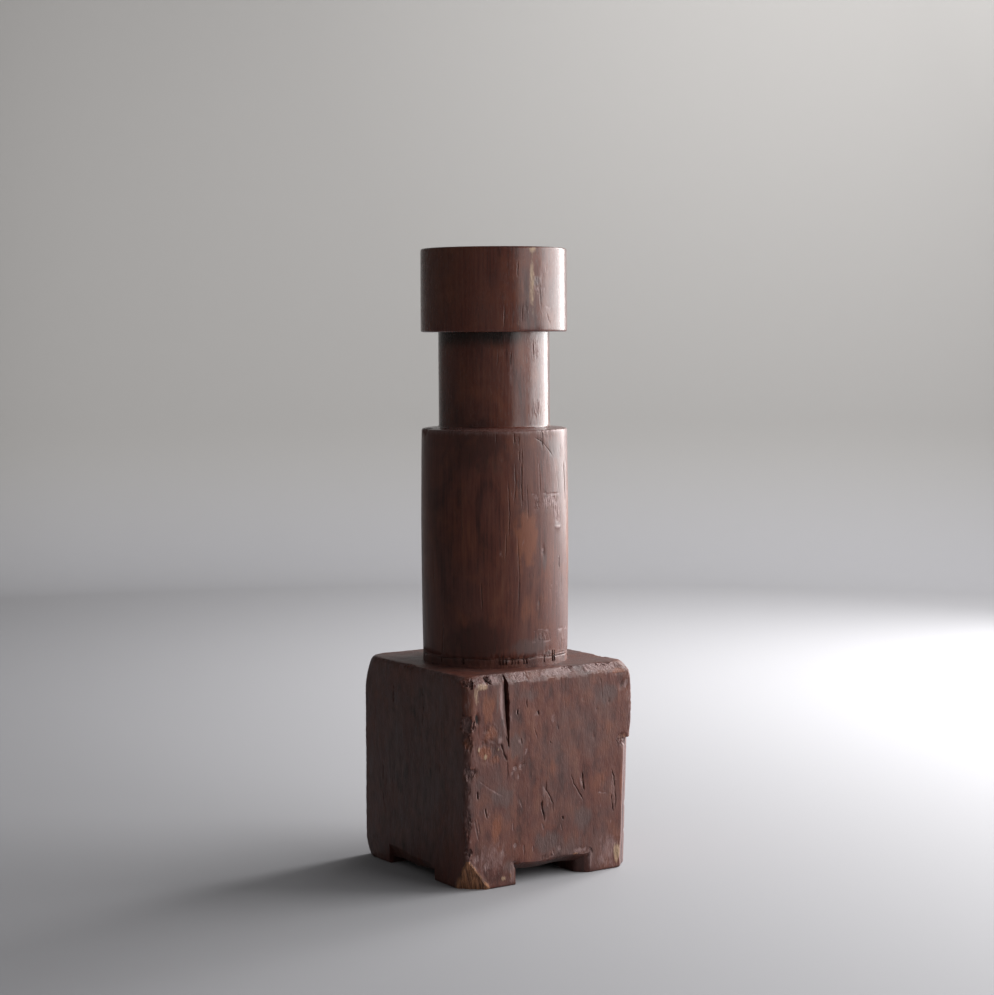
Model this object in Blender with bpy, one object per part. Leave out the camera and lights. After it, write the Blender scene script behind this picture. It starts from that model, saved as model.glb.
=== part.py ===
"""A plinth turned and hewn from one baulk of hardwood.

The foot is the squared baulk, left rough, with two channels sawn across its underside so that
it stands on its four corners. The upper part is turned: a drum, a narrower neck and a cap.
Everything is one solid. The origin is on the floor under the column's axis, with +Z up, the
face with the open shake towards -Y, and sizes in metres.
"""

import math
from dataclasses import dataclass

import bmesh
import bpy
from mathutils import Vector

# The squared block
BLOCK_SIDE = 0.233
BLOCK_HEIGHT = 0.248
FRONT_CHAMFER = 0.010  # along the front top edge, sawn at 45 degrees
TOP_EDGE_WEAR = 0.002  # along the other three top edges
BOTTOM_EDGE_WEAR = 0.002

# The turned column, from the block's top up
DRUM_HEIGHT = 0.2785
NECK_HEIGHT = 0.1145
CAP_HEIGHT = 0.099
DRUM_FOOT_DIAMETER = 0.174
DRUM_BELLY_DIAMETER = 0.177
DRUM_TOP_DIAMETER = 0.1745
NECK_DIAMETER = 0.133
CAP_DIAMETER = 0.175
CAP_TAPER = 0.0008  # how much narrower the cap's top is, in diameter
CHOPPED_RING_HEIGHT = 0.013  # where the round was chopped out of the square
CHOPPED_RING_DEPTH = 0.0006
SHOULDER_RISE = 0.0015  # the drum's top falls away from the neck
NECK_FILLET = 0.003
RIM_RADIUS = 0.0025  # on the drum's top edge and the cap's two edges

# The feet: each one's width along the face that it stands at, from the block's corner
FRONT_FOOT_ON_FRONT = 0.066
RIGHT_FOOT_ON_FRONT = 0.061
FRONT_FOOT_ON_LEFT = 0.071
LEFT_FOOT_ON_LEFT = 0.058

# The two channels. Each one's mouth is chopped out wider, sloping in to its roof.
FRONT_CHANNEL_HEIGHT = 0.015
FRONT_MOUTH_HEIGHT = 0.0245
FRONT_MOUTH_DEPTH = 0.013
FRONT_MOUTH_SPLAY = 0.013  # how far the mouth widens beside the right foot
LEFT_CHANNEL_HEIGHT = 0.0088
LEFT_MOUTH_HIGH = 0.0245  # beside the left foot
LEFT_MOUTH_LOW = 0.016  # beside the front foot
LEFT_MOUTH_DEPTH = 0.006

# The shake that opens down the front face from its top edge
SHAKE_FROM_CORNER = 0.052
SHAKE_LENGTH = 0.084
SHAKE_WIDTH = 0.0115
SHAKE_DEPTH = 0.014
SHAKE_DRIFT = 0.006  # how far it wanders towards the middle of the face on its way down

# The slip of wood split off the right corner, from the floor up
SPLIT_HEIGHT = 0.157
SPLIT_ON_FRONT_LOW = 0.0165
SPLIT_ON_FRONT_HIGH = 0.011
SPLIT_ON_SIDE_LOW = 0.0155
SPLIT_ON_SIDE_HIGH = 0.008

# Above the split the same corner swells out to the right
SWELL = 0.003
SWELL_PEAK_HEIGHT = 0.200

# The broken tip of the front foot
BREAK_HEIGHT = 0.036
BREAK_ON_FRONT = 0.029
BREAK_ON_LEFT = 0.026

SHAKE_TIP = 0.05  # the share of its width that is left at its lower end

# How finely the round shapes are cut
COLUMN_SIDES = 96
CORNER_STEPS = 6
FACE_STEPS = 3
BLOCK_LEVELS = 28
BEND_STEPS = 4
BELLY_STEPS = 5
SHAKE_STEPS = 8

# How far a cutter or a joined shape reaches past the surface it meets
OVERRUN = 0.006

COLUMN_TOP = BLOCK_HEIGHT + DRUM_HEIGHT + NECK_HEIGHT + CAP_HEIGHT
HALF_SIDE = BLOCK_SIDE / 2


@dataclass(frozen=True)
class CornerWear:
    """How one upright corner of the block is worn.

    The radius runs from arris_low at the floor to arris_high at the top. It grows by top_wear
    over the last top_reach below the top, and by foot_wear over the first foot_reach above
    the floor.
    """

    arris_low: float
    arris_high: float
    top_wear: float
    top_reach: float
    foot_wear: float
    foot_reach: float

    def radius(self, height):
        top = fading((BLOCK_HEIGHT - height) / self.top_reach)
        foot = fading(height / self.foot_reach)
        arris = between(self.arris_low, self.arris_high, height / BLOCK_HEIGHT)
        return arris + self.top_wear * top + self.foot_wear * foot


FRONT_CORNER = CornerWear(0.002, 0.012, 0.004, 0.016, 0.002, 0.012)
RIGHT_CORNER = CornerWear(0.004, 0.004, 0.011, 0.020, 0.004, 0.012)
BACK_CORNER = CornerWear(0.006, 0.008, 0.014, 0.035, 0.010, 0.024)
LEFT_CORNER = CornerWear(0.004, 0.005, 0.024, 0.045, 0.018, 0.027)


def fading(share):
    """1 at share 0, falling smoothly to 0 at share 1 and beyond."""
    return max(0.0, 1.0 - share) ** 2


def between(low, high, share):
    """The value that share of the way from low to high, held at the ends."""
    return low + (high - low) * min(1.0, max(0.0, share))


def corner_swell(height):
    """How far the right corner stands out at a height: none at the split and at the top."""
    if height <= SWELL_PEAK_HEIGHT:
        share = (height - SPLIT_HEIGHT) / (SWELL_PEAK_HEIGHT - SPLIT_HEIGHT)
    else:
        share = (BLOCK_HEIGHT - height) / (BLOCK_HEIGHT - SWELL_PEAK_HEIGHT)
    return SWELL * math.sin(between(0.0, math.pi / 2, share))


def clear_scene():
    for obj in list(bpy.data.objects):
        bpy.data.objects.remove(obj, do_unlink=True)


def oiled_wood():
    material = bpy.data.materials.new("oiled_wood")
    material.use_nodes = True
    shader = material.node_tree.nodes["Principled BSDF"]
    shader.inputs["Base Color"].default_value = (0.095, 0.038, 0.024, 1.0)
    shader.inputs["Roughness"].default_value = 0.38
    shader.inputs["Metallic"].default_value = 0.0
    return material


def new_object(name, mesh_data):
    """Puts a finished bmesh in the scene as an object of that name."""
    bmesh.ops.recalc_face_normals(mesh_data, faces=mesh_data.faces)
    mesh = bpy.data.meshes.new(name)
    mesh_data.to_mesh(mesh)
    mesh_data.free()
    obj = bpy.data.objects.new(name, mesh)
    bpy.context.scene.collection.objects.link(obj)
    return obj


def as_helper(obj):
    """Marks an object that only cuts or joins, and isn't part of the model."""
    obj.hide_render = True
    obj.display_type = "WIRE"
    return obj


def loft(name, rings):
    """A closed solid through rings of points, each with as many points as the next."""
    mesh_data = bmesh.new()
    made = [[mesh_data.verts.new(point) for point in ring] for ring in rings]
    for lower, upper in zip(made, made[1:]):
        count = len(lower)
        for i in range(count):
            j = (i + 1) % count
            mesh_data.faces.new((lower[i], lower[j], upper[j], upper[i]))
    mesh_data.faces.new(reversed(made[0]))
    mesh_data.faces.new(made[-1])
    return new_object(name, mesh_data)


def corner_points(corner, before, after, leg_before, leg_after, is_flat):
    """The points that take an outline round a corner.

    before and after point along the two faces, away from the corner, and each leg is how far
    along its face the corner's rounding or cut begins.
    """
    start = corner + before * leg_before
    end = corner + after * leg_after
    points = []
    for step in range(CORNER_STEPS + 1):
        share = step / CORNER_STEPS
        if is_flat:
            points.append(start.lerp(end, share))
        else:
            turn = share * math.pi / 2
            along_before = before * leg_before * (1 - math.sin(turn))
            along_after = after * leg_after * (1 - math.cos(turn))
            points.append(corner + along_before + along_after)
    return points


def block_outline(height):
    """The block's outline at a height, anticlockwise from the front corner."""
    below_top = BLOCK_HEIGHT - height
    bottom_inset = BOTTOM_EDGE_WEAR * fading(height / BOTTOM_EDGE_WEAR)
    front_inset = max(0.0, FRONT_CHAMFER - below_top) + bottom_inset
    side_inset = TOP_EDGE_WEAR * fading(below_top / (2 * TOP_EDGE_WEAR)) + bottom_inset
    low_x = -HALF_SIDE + side_inset
    high_x = HALF_SIDE - side_inset
    low_y = -HALF_SIDE + front_inset
    high_y = HALF_SIDE - side_inset
    along_x, along_y = Vector((1, 0)), Vector((0, 1))

    front = FRONT_CORNER.radius(height)
    right = RIGHT_CORNER.radius(height)
    back = BACK_CORNER.radius(height)
    left = LEFT_CORNER.radius(height)
    is_split = height < SPLIT_HEIGHT
    right_on_front, right_on_side = right, right
    if is_split:
        share = height / SPLIT_HEIGHT
        right_on_front = between(SPLIT_ON_FRONT_LOW, SPLIT_ON_FRONT_HIGH, share)
        right_on_side = between(SPLIT_ON_SIDE_LOW, SPLIT_ON_SIDE_HIGH, share)

    right_corner = Vector((high_x + corner_swell(height), low_y))
    corners = [
        corner_points(Vector((low_x, low_y)), along_y, along_x, front, front, False),
        corner_points(
            right_corner, -along_x, along_y, right_on_front, right_on_side, is_split
        ),
        corner_points(Vector((high_x, high_y)), -along_y, -along_x, back, back, False),
        corner_points(Vector((low_x, high_y)), along_x, -along_y, left, left, False),
    ]
    outline = []
    for corner, following in zip(corners, corners[1:] + corners[:1]):
        outline.extend(corner)
        for step in range(1, FACE_STEPS):
            outline.append(corner[-1].lerp(following[0], step / FACE_STEPS))
    return [Vector((point.x, point.y, height)) for point in outline]


def block_heights():
    """The levels at which the block's outline is taken, with the edges that need their own."""
    even = [BLOCK_HEIGHT * step / BLOCK_LEVELS for step in range(BLOCK_LEVELS + 1)]
    edges = [
        BOTTOM_EDGE_WEAR / 2,
        BOTTOM_EDGE_WEAR,
        SPLIT_HEIGHT - BOTTOM_EDGE_WEAR,
        SPLIT_HEIGHT,
        BLOCK_HEIGHT - FRONT_CHAMFER,
        BLOCK_HEIGHT - TOP_EDGE_WEAR,
        BLOCK_HEIGHT - TOP_EDGE_WEAR / 2,
    ]
    kept = list(edges)
    closest = BOTTOM_EDGE_WEAR / 2
    for height in even:
        if all(abs(height - edge) >= closest for edge in edges):
            kept.append(height)
    return sorted(kept)


def squared_block(name):
    return loft(name, [block_outline(height) for height in block_heights()])


def arc(centre_radius, centre_height, radius, start_degrees, end_degrees):
    """Points of a turned edge, as radius and height, round a centre in the profile."""
    points = []
    for step in range(BEND_STEPS + 1):
        turn = math.radians(between(start_degrees, end_degrees, step / BEND_STEPS))
        points.append(
            (centre_radius + radius * math.cos(turn), centre_height + radius * math.sin(turn))
        )
    return points


def belly(share):
    """The drum's radius at a share of its height: a shallow curve through three diameters."""
    ends = between(DRUM_FOOT_DIAMETER, DRUM_TOP_DIAMETER, share)
    swell = DRUM_BELLY_DIAMETER - (DRUM_FOOT_DIAMETER + DRUM_TOP_DIAMETER) / 2
    return (ends + swell * 4 * share * (1 - share)) / 2


def column_profile():
    """The turned outline from inside the block up to the cap's top, as radius and height."""
    drum_top = BLOCK_HEIGHT + DRUM_HEIGHT
    neck_top = drum_top + NECK_HEIGHT
    ring_top = BLOCK_HEIGHT + CHOPPED_RING_HEIGHT
    foot_radius = belly(CHOPPED_RING_HEIGHT / DRUM_HEIGHT)
    ring_radius = foot_radius - CHOPPED_RING_DEPTH
    neck_radius = NECK_DIAMETER / 2
    cap_radius = CAP_DIAMETER / 2

    profile = [(ring_radius, BLOCK_HEIGHT - OVERRUN)]
    profile.append((ring_radius, ring_top - CHOPPED_RING_DEPTH))
    swelling = DRUM_HEIGHT - CHOPPED_RING_HEIGHT - RIM_RADIUS
    for step in range(BELLY_STEPS):
        height = ring_top + swelling * step / BELLY_STEPS
        profile.append((belly((height - BLOCK_HEIGHT) / DRUM_HEIGHT), height))
    drum_rim = DRUM_TOP_DIAMETER / 2 - RIM_RADIUS
    profile += arc(drum_rim, drum_top - RIM_RADIUS, RIM_RADIUS, 0, 90)
    fillet_low = drum_top + SHOULDER_RISE
    profile += arc(neck_radius + NECK_FILLET, fillet_low + NECK_FILLET, NECK_FILLET, 270, 180)
    profile.append((neck_radius, neck_top))
    cap_rim = cap_radius - RIM_RADIUS
    profile += arc(cap_rim, neck_top + RIM_RADIUS, RIM_RADIUS, 270, 360)
    top_rim = cap_rim - CAP_TAPER / 2
    profile += arc(top_rim, COLUMN_TOP - RIM_RADIUS, RIM_RADIUS, 0, 90)
    return profile


def turned_column(name):
    """The drum, neck and cap as one turned shape, its foot inside the block."""
    rings = []
    for radius, height in column_profile():
        ring = []
        for side in range(COLUMN_SIDES):
            turn = 2 * math.pi * side / COLUMN_SIDES
            ring.append(Vector((radius * math.cos(turn), radius * math.sin(turn), height)))
        rings.append(ring)
    return loft(name, rings)


def front_channel(name):
    """The cutter for the channel that runs from the front face through to the back."""
    low_x = -HALF_SIDE + FRONT_FOOT_ON_FRONT
    high_x = HALF_SIDE - RIGHT_FOOT_ON_FRONT
    inner_x = high_x - FRONT_MOUTH_SPLAY
    past = 1 + OVERRUN / FRONT_MOUTH_DEPTH
    outer_x = inner_x + FRONT_MOUTH_SPLAY * past
    outer_height = FRONT_CHANNEL_HEIGHT + (FRONT_MOUTH_HEIGHT - FRONT_CHANNEL_HEIGHT) * past
    stations = [
        (-HALF_SIDE - OVERRUN, outer_x, outer_height),
        (-HALF_SIDE + FRONT_MOUTH_DEPTH, inner_x, FRONT_CHANNEL_HEIGHT),
        (HALF_SIDE + OVERRUN, inner_x, FRONT_CHANNEL_HEIGHT),
    ]
    rings = []
    for y, side_x, height in stations:
        corners = ((low_x, -OVERRUN), (side_x, -OVERRUN), (side_x, height), (low_x, height))
        rings.append([Vector((x, y, z)) for x, z in corners])
    return loft(name, rings)


def left_channel(name):
    """The cutter for the channel that runs from the left face through to the right.

    Its mouth is chopped out higher beside the left foot than beside the front one.
    """
    low_y = -HALF_SIDE + FRONT_FOOT_ON_LEFT
    high_y = HALF_SIDE - LEFT_FOOT_ON_LEFT
    past = 1 + OVERRUN / LEFT_MOUTH_DEPTH
    outer_high = LEFT_CHANNEL_HEIGHT + (LEFT_MOUTH_HIGH - LEFT_CHANNEL_HEIGHT) * past
    outer_low = LEFT_CHANNEL_HEIGHT + (LEFT_MOUTH_LOW - LEFT_CHANNEL_HEIGHT) * past
    stations = [
        (-HALF_SIDE - OVERRUN, outer_low, outer_high),
        (-HALF_SIDE + LEFT_MOUTH_DEPTH, LEFT_CHANNEL_HEIGHT, LEFT_CHANNEL_HEIGHT),
        (HALF_SIDE + SWELL + OVERRUN, LEFT_CHANNEL_HEIGHT, LEFT_CHANNEL_HEIGHT),
    ]
    rings = []
    for x, low, high in stations:
        corners = ((low_y, -OVERRUN), (high_y, -OVERRUN), (high_y, high), (low_y, low))
        rings.append([Vector((x, y, z)) for y, z in corners])
    return loft(name, rings)


def shake_cutter(name):
    """The wedge that opens the shake: widest at the top, closing and wandering downwards."""
    rings = []
    top = BLOCK_HEIGHT + OVERRUN
    for step in range(SHAKE_STEPS + 1):
        share = step / SHAKE_STEPS
        height = between(BLOCK_HEIGHT - SHAKE_LENGTH, top, share)
        opening = max(SHAKE_TIP, math.sin(share * math.pi / 2) ** 0.5)
        half_width = SHAKE_WIDTH / 2 * opening
        depth = SHAKE_DEPTH * opening
        middle = -HALF_SIDE + SHAKE_FROM_CORNER + SHAKE_DRIFT * (1 - share) ** 2
        rings.append(
            [
                Vector((middle - half_width, -HALF_SIDE, height)),
                Vector((middle - half_width, -HALF_SIDE - OVERRUN, height)),
                Vector((middle + half_width, -HALF_SIDE - OVERRUN, height)),
                Vector((middle + half_width, -HALF_SIDE, height)),
                Vector((middle, -HALF_SIDE + depth, height)),
            ]
        )
    return loft(name, rings)


def break_cutter(name):
    """The cutter that takes the tip off the front foot, along one slanting plane."""
    on_left = Vector((-HALF_SIDE, -HALF_SIDE + BREAK_ON_LEFT, 0.0))
    on_front = Vector((-HALF_SIDE + BREAK_ON_FRONT, -HALF_SIDE, 0.0))
    above = Vector((-HALF_SIDE, -HALF_SIDE, BREAK_HEIGHT))
    outward = (on_front - on_left).cross(above - on_left).normalized()
    if outward.dot(Vector((-1, -1, 0))) < 0:
        outward.negate()
    middle = (on_left + on_front + above) / 3
    spread = 3.0
    face = [middle + (corner - middle) * spread for corner in (on_left, on_front, above)]
    far = outward * (BREAK_ON_LEFT + BREAK_ON_FRONT + BREAK_HEIGHT)
    return loft(name, [face, [corner + far for corner in face]])


def combine(base, operation, helper):
    """Adds a Boolean to the base that joins the helper to it or cuts it away."""
    modifier = base.modifiers.new(helper.name, "BOOLEAN")
    modifier.operation = operation
    modifier.object = as_helper(helper)


def main():
    clear_scene()
    plinth = squared_block("plinth")
    plinth.data.materials.append(oiled_wood())
    combine(plinth, "UNION", turned_column("column_form"))
    combine(plinth, "DIFFERENCE", front_channel("front_channel"))
    combine(plinth, "DIFFERENCE", left_channel("left_channel"))
    combine(plinth, "DIFFERENCE", shake_cutter("shake"))
    combine(plinth, "DIFFERENCE", break_cutter("broken_foot_tip"))
    plinth.data.shade_smooth()
    plinth.data.set_sharp_from_angle(angle=math.radians(30))


main()
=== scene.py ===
"""The looks of a wooden plinth, hewn and turned from one baulk of dark, oiled hardwood.

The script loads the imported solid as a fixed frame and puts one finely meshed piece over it. The
piece repeats the solid's form from the same sizes: a squared block left rough, and above it a
turned drum, neck and cap. Channels, the open shake, the broken foot tip and the chop marks round
the drum's foot are cut into it, then cracks, dents, chips and torn patches are sunk into its
skin, and a weathered relief is laid over all. One finish, oiled wood, follows the marks.

Sizes are in metres unless a name says millimetres, with +Z up and the face with the shake
towards -Y.
"""

import logging
import math
from dataclasses import dataclass, field
from enum import Enum

import bmesh
import bpy
import numpy as np
from mathutils import Matrix, Vector, noise


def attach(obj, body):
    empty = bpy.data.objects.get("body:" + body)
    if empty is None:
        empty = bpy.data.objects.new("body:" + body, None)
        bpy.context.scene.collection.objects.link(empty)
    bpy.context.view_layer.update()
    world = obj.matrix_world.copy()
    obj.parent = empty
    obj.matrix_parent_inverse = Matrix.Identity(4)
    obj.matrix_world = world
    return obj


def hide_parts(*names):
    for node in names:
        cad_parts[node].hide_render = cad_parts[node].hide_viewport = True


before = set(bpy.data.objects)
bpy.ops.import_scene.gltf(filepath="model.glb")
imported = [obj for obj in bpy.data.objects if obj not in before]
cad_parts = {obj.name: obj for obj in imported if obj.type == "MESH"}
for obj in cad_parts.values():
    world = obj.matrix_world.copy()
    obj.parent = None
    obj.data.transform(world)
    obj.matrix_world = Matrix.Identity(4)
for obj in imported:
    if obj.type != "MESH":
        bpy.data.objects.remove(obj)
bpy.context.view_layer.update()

LOG = logging.getLogger("plinth")
MM = 0.001
OVERRUN = 0.006  # how far a cutter reaches past the surface it meets


def fading(share: np.ndarray) -> np.ndarray:
    """1 at share 0, falling smoothly to 0 at share 1 and beyond."""
    return np.clip(1.0 - share, 0.0, None) ** 2


def between(low: float, high: float, share: float) -> float:
    """The value that share of the way from low to high, held at the ends."""
    return low + (high - low) * min(1.0, max(0.0, share))


def smooth_step(value: np.ndarray, start: float, end: float) -> np.ndarray:
    """0 at start, rising smoothly to 1 at end, for each value."""
    share = np.clip((value - start) / (end - start), 0.0, 1.0)
    return share * share * (3 - 2 * share)


def grain_noise(points: np.ndarray, size: Vector, seed: int) -> np.ndarray:
    """Smooth random values round 0, between about -1 and 1.

    Args:
        points: Places in the wood, one row each, in metres.
        size: How large the features are along X, Y and Z, in metres.
        seed: Which pattern of many.

    Returns:
        One value for each point.
    """
    scaled = points / np.array(size) + seed * 17.31
    return np.array([noise.noise(Vector(row)) for row in scaled.tolist()])


# ---------------------------------------------------------------------------------------------
# The form: block, column, and the cuts made in them


@dataclass(frozen=True)
class CornerWear:
    """How one upright corner of the block is worn.

    The radius runs from arris_low at the floor to arris_high at the top. It grows by top_wear
    over the last top_reach below the top, and by foot_wear over the first foot_reach above
    the floor.
    """

    arris_low: float
    arris_high: float
    top_wear: float
    top_reach: float
    foot_wear: float
    foot_reach: float

    def radius(self, height: float, block_height: float) -> float:
        """The corner's radius at a height.

        Args:
            height: Where the corner is measured, above the floor.
            block_height: The height of the whole block.

        Returns:
            The radius there.
        """
        top = float(fading((block_height - height) / self.top_reach))
        foot = float(fading(height / self.foot_reach))
        arris = between(self.arris_low, self.arris_high, height / block_height)
        return arris + self.top_wear * top + self.foot_wear * foot


@dataclass(frozen=True)
class SplitCorner:
    """The right corner: a slip of wood split off below, and a swelling above it."""

    height: float = 0.157
    on_front_low: float = 0.0165
    on_front_high: float = 0.011
    on_side_low: float = 0.0155
    on_side_high: float = 0.008
    swell: float = 0.003
    swell_peak: float = 0.200

    def legs(self, height: float) -> tuple[float, float]:
        """How far along the front and the side the split reaches at a height.

        Args:
            height: Above the floor.

        Returns:
            The length along the front, then along the side.
        """
        share = height / self.height
        on_front = between(self.on_front_low, self.on_front_high, share)
        return on_front, between(self.on_side_low, self.on_side_high, share)

    def swelling(self, height: float, block_height: float) -> float:
        """How far the corner stands out at a height: none at the split and at the top.

        Args:
            height: Above the floor.
            block_height: The height of the whole block.

        Returns:
            The distance along X.
        """
        if height <= self.swell_peak:
            share = (height - self.height) / (self.swell_peak - self.height)
        else:
            share = (block_height - height) / (block_height - self.swell_peak)
        return self.swell * math.sin(between(0.0, math.pi / 2, share))


@dataclass(frozen=True)
class Block:
    """The squared lower end of the baulk.

    Attributes:
        side: Its width and depth.
        height: From the floor to its top.
        front_chamfer: The sawn chamfer along the front top edge.
        top_edge_wear: Wear along the other three top edges.
        bottom_edge_wear: Wear along the edges on the floor.
        corners: The wear of the front, right, back and left corners.
        split: What is split off the right corner.
        corner_steps: Faces round each corner.
        face_steps: Faces across the front, right, back and left sides.
        level: The height of one row of faces.
    """

    side: float = 0.233
    height: float = 0.248
    front_chamfer: float = 0.010
    top_edge_wear: float = 0.002
    bottom_edge_wear: float = 0.002
    corners: tuple[CornerWear, ...] = (
        CornerWear(0.002, 0.012, 0.004, 0.016, 0.002, 0.012),
        CornerWear(0.004, 0.004, 0.011, 0.020, 0.004, 0.012),
        CornerWear(0.006, 0.008, 0.014, 0.035, 0.010, 0.024),
        CornerWear(0.004, 0.005, 0.024, 0.045, 0.018, 0.027),
    )
    split: SplitCorner = SplitCorner()
    corner_steps: int = 8
    face_steps: tuple[int, ...] = (84, 34, 30, 42)
    level: float = 0.0037

    @property
    def half(self) -> float:
        """Half of the block's side."""
        return self.side / 2

    def _corner(
        self, corner: Vector, before: Vector, after: Vector, legs: tuple[float, float], flat: bool
    ) -> list[Vector]:
        """The points that take the outline round one corner.

        Args:
            corner: Where the two faces would meet.
            before: The direction along the face before it, away from the corner.
            after: The same along the face after it.
            legs: How far along each face the rounding begins.
            flat: True where the corner is cut straight instead of rounded.

        Returns:
            The points, in order.
        """
        start, end = corner + before * legs[0], corner + after * legs[1]
        points = []
        for step in range(self.corner_steps + 1):
            share = step / self.corner_steps
            turn = share * math.pi / 2
            back = before * legs[0] * (1 - math.sin(turn))
            on = after * legs[1] * (1 - math.cos(turn))
            points.append(start.lerp(end, share) if flat else corner + back + on)
        return points

    def outline(self, height: float) -> np.ndarray:
        """The block's outline at a height, anticlockwise from the front corner.

        Args:
            height: Above the floor.

        Returns:
            One row of X and Y for each point.
        """
        below_top = self.height - height
        bottom = self.bottom_edge_wear * float(fading(height / self.bottom_edge_wear))
        front_inset = max(0.0, self.front_chamfer - below_top) + bottom
        worn = float(fading(below_top / (2 * self.top_edge_wear)))
        side_inset = self.top_edge_wear * worn + bottom
        low, high = -self.half + side_inset, self.half - side_inset
        low_y = -self.half + front_inset
        radii = [corner.radius(height, self.height) for corner in self.corners]
        is_split = height < self.split.height
        right_legs = self.split.legs(height) if is_split else (radii[1], radii[1])
        right_x = high + self.split.swelling(height, self.height)
        x, y = Vector((1, 0)), Vector((0, 1))
        rounds = [
            self._corner(Vector((low, low_y)), y, x, (radii[0], radii[0]), False),
            self._corner(Vector((right_x, low_y)), -x, y, right_legs, is_split),
            self._corner(Vector((high, high)), -y, -x, (radii[2], radii[2]), False),
            self._corner(Vector((low, high)), x, -y, (radii[3], radii[3]), False),
        ]
        points: list[Vector] = []
        for index, steps in enumerate(self.face_steps):
            following = rounds[(index + 1) % len(rounds)]
            points += rounds[index]
            last = rounds[index][-1]
            points += [last.lerp(following[0], step / steps) for step in range(1, steps)]
        return np.array(points)

    def levels(self) -> list[float]:
        """The heights at which the outline is taken, from the floor to the top.

        Returns:
            The heights, in order.
        """
        bends = [
            0.0,
            self.bottom_edge_wear / 2,
            self.bottom_edge_wear,
            self.split.height - self.bottom_edge_wear,
            self.split.height,
            self.height - self.front_chamfer,
            self.height - self.front_chamfer / 2,
            self.height - self.top_edge_wear,
            self.height - self.top_edge_wear / 2,
            self.height,
        ]
        heights = [bends[0]]
        for low, high in zip(bends, bends[1:]):
            count = max(1, round((high - low) / self.level))
            heights += [low + (high - low) * step / count for step in range(1, count + 1)]
        return heights

    def turns(self) -> np.ndarray:
        """The angle round the column that each point of the outline leads to, in radians.

        Returns:
            One angle for each point of the outline.
        """
        corner = math.radians(self.corner_steps * 0.8)
        quarter = math.pi / 2
        angles: list[float] = []
        for index, steps in enumerate(self.face_steps):
            start = -1.5 * quarter + index * quarter
            for step in range(self.corner_steps + 1):
                angles.append(start + corner * (step / self.corner_steps - 0.5))
            first, span = start + corner / 2, quarter - corner
            angles += [first + span * step / steps for step in range(1, steps)]
        return np.array(angles)


@dataclass(frozen=True)
class Column:
    """The turned upper part: drum, neck and cap, each given by its height and diameter.

    Attributes:
        drum_height: From the block's top to the drum's shoulder.
        neck_height: From the shoulder to the cap's underside.
        cap_height: From that underside to the top.
        drum_foot: The drum's diameter where it leaves the block.
        drum_belly: Its diameter half way up.
        drum_top: Its diameter at the shoulder.
        neck: The neck's diameter.
        cap: The cap's diameter at its lower edge.
        cap_taper: How much narrower the cap's top is.
        ring_height: The chopped ring round the drum's foot.
        ring_depth: How far that ring is set back.
        shoulder_rise: The fall of the drum's top away from the neck.
        neck_fillet: The hollow where the neck meets the shoulder.
        rim: The radius of the drum's and the cap's edges.
        bend_steps: Faces round each edge.
        level: The height of one row of faces.
    """

    drum_height: float = 0.2785
    neck_height: float = 0.1145
    cap_height: float = 0.099
    drum_foot: float = 0.174
    drum_belly: float = 0.177
    drum_top: float = 0.1745
    neck: float = 0.133
    cap: float = 0.175
    cap_taper: float = 0.0008
    ring_height: float = 0.013
    ring_depth: float = 0.0002
    shoulder_rise: float = 0.0015
    neck_fillet: float = 0.003
    rim: float = 0.0025
    bend_steps: int = 4
    level: float = 0.0064

    def radius(self, share: float) -> float:
        """The drum's radius at a share of its height: a shallow curve through its diameters."""
        ends = between(self.drum_foot, self.drum_top, share)
        swell = self.drum_belly - (self.drum_foot + self.drum_top) / 2
        return (ends + swell * 4 * share * (1 - share)) / 2

    def _arc(self, centre: tuple[float, float], radius: float, start: float, end: float) -> list:
        """Points of a turned edge round a centre in the profile, with angles in degrees.

        Args:
            centre: The edge's middle, as radius and height.
            radius: The radius of the rounding.
            start: The angle it starts at.
            end: The angle it ends at.

        Returns:
            The points, as radius and height.
        """
        points = []
        for step in range(self.bend_steps + 1):
            turn = math.radians(between(start, end, step / self.bend_steps))
            across = centre[0] + radius * math.cos(turn)
            points.append((across, centre[1] + radius * math.sin(turn)))
        return points

    def profile(self, foot: float) -> list[tuple[float, float]]:
        """The turned outline as radius and height.

        Args:
            foot: The height of the block's top, where the drum begins.

        Returns:
            The points from the drum's foot to the middle of the cap's top.
        """
        shoulder = foot + self.drum_height
        underside = shoulder + self.neck_height
        top = underside + self.cap_height
        ring_top = foot + self.ring_height
        ring_radius = self.radius(self.ring_height / self.drum_height) - self.ring_depth
        bends = [(ring_radius, foot), (ring_radius, ring_top - self.ring_depth)]
        rising = self.drum_height - self.ring_height - self.rim
        count = round(rising / self.level)
        for step in range(count):
            height = ring_top + rising * step / count
            bends.append((self.radius((height - foot) / self.drum_height), height))
        bends += self._arc((self.drum_top / 2 - self.rim, shoulder - self.rim), self.rim, 0, 90)
        hollow = shoulder + self.shoulder_rise + self.neck_fillet
        bends += self._arc((self.neck / 2 + self.neck_fillet, hollow), self.neck_fillet, 270, 180)
        bends.append((self.neck / 2, underside))
        edge = self.cap / 2 - self.rim
        bends += self._arc((edge, underside + self.rim), self.rim, 270, 360)
        bends += self._arc((edge - self.cap_taper / 2, top - self.rim), self.rim, 0, 90)
        bends.append((self.level, top))
        points = [bends[0]]
        for (r0, z0), (r1, z1) in zip(bends, bends[1:]):
            spacing = self.level if z0 < top else 2 * self.level
            if z1 < ring_top:
                spacing = self.level / 2
            steps = max(1, round(math.hypot(r1 - r0, z1 - z0) / spacing))
            points += [
                (r0 + (r1 - r0) * step / steps, z0 + (z1 - z0) * step / steps)
                for step in range(1, steps + 1)
            ]
        return points


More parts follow.
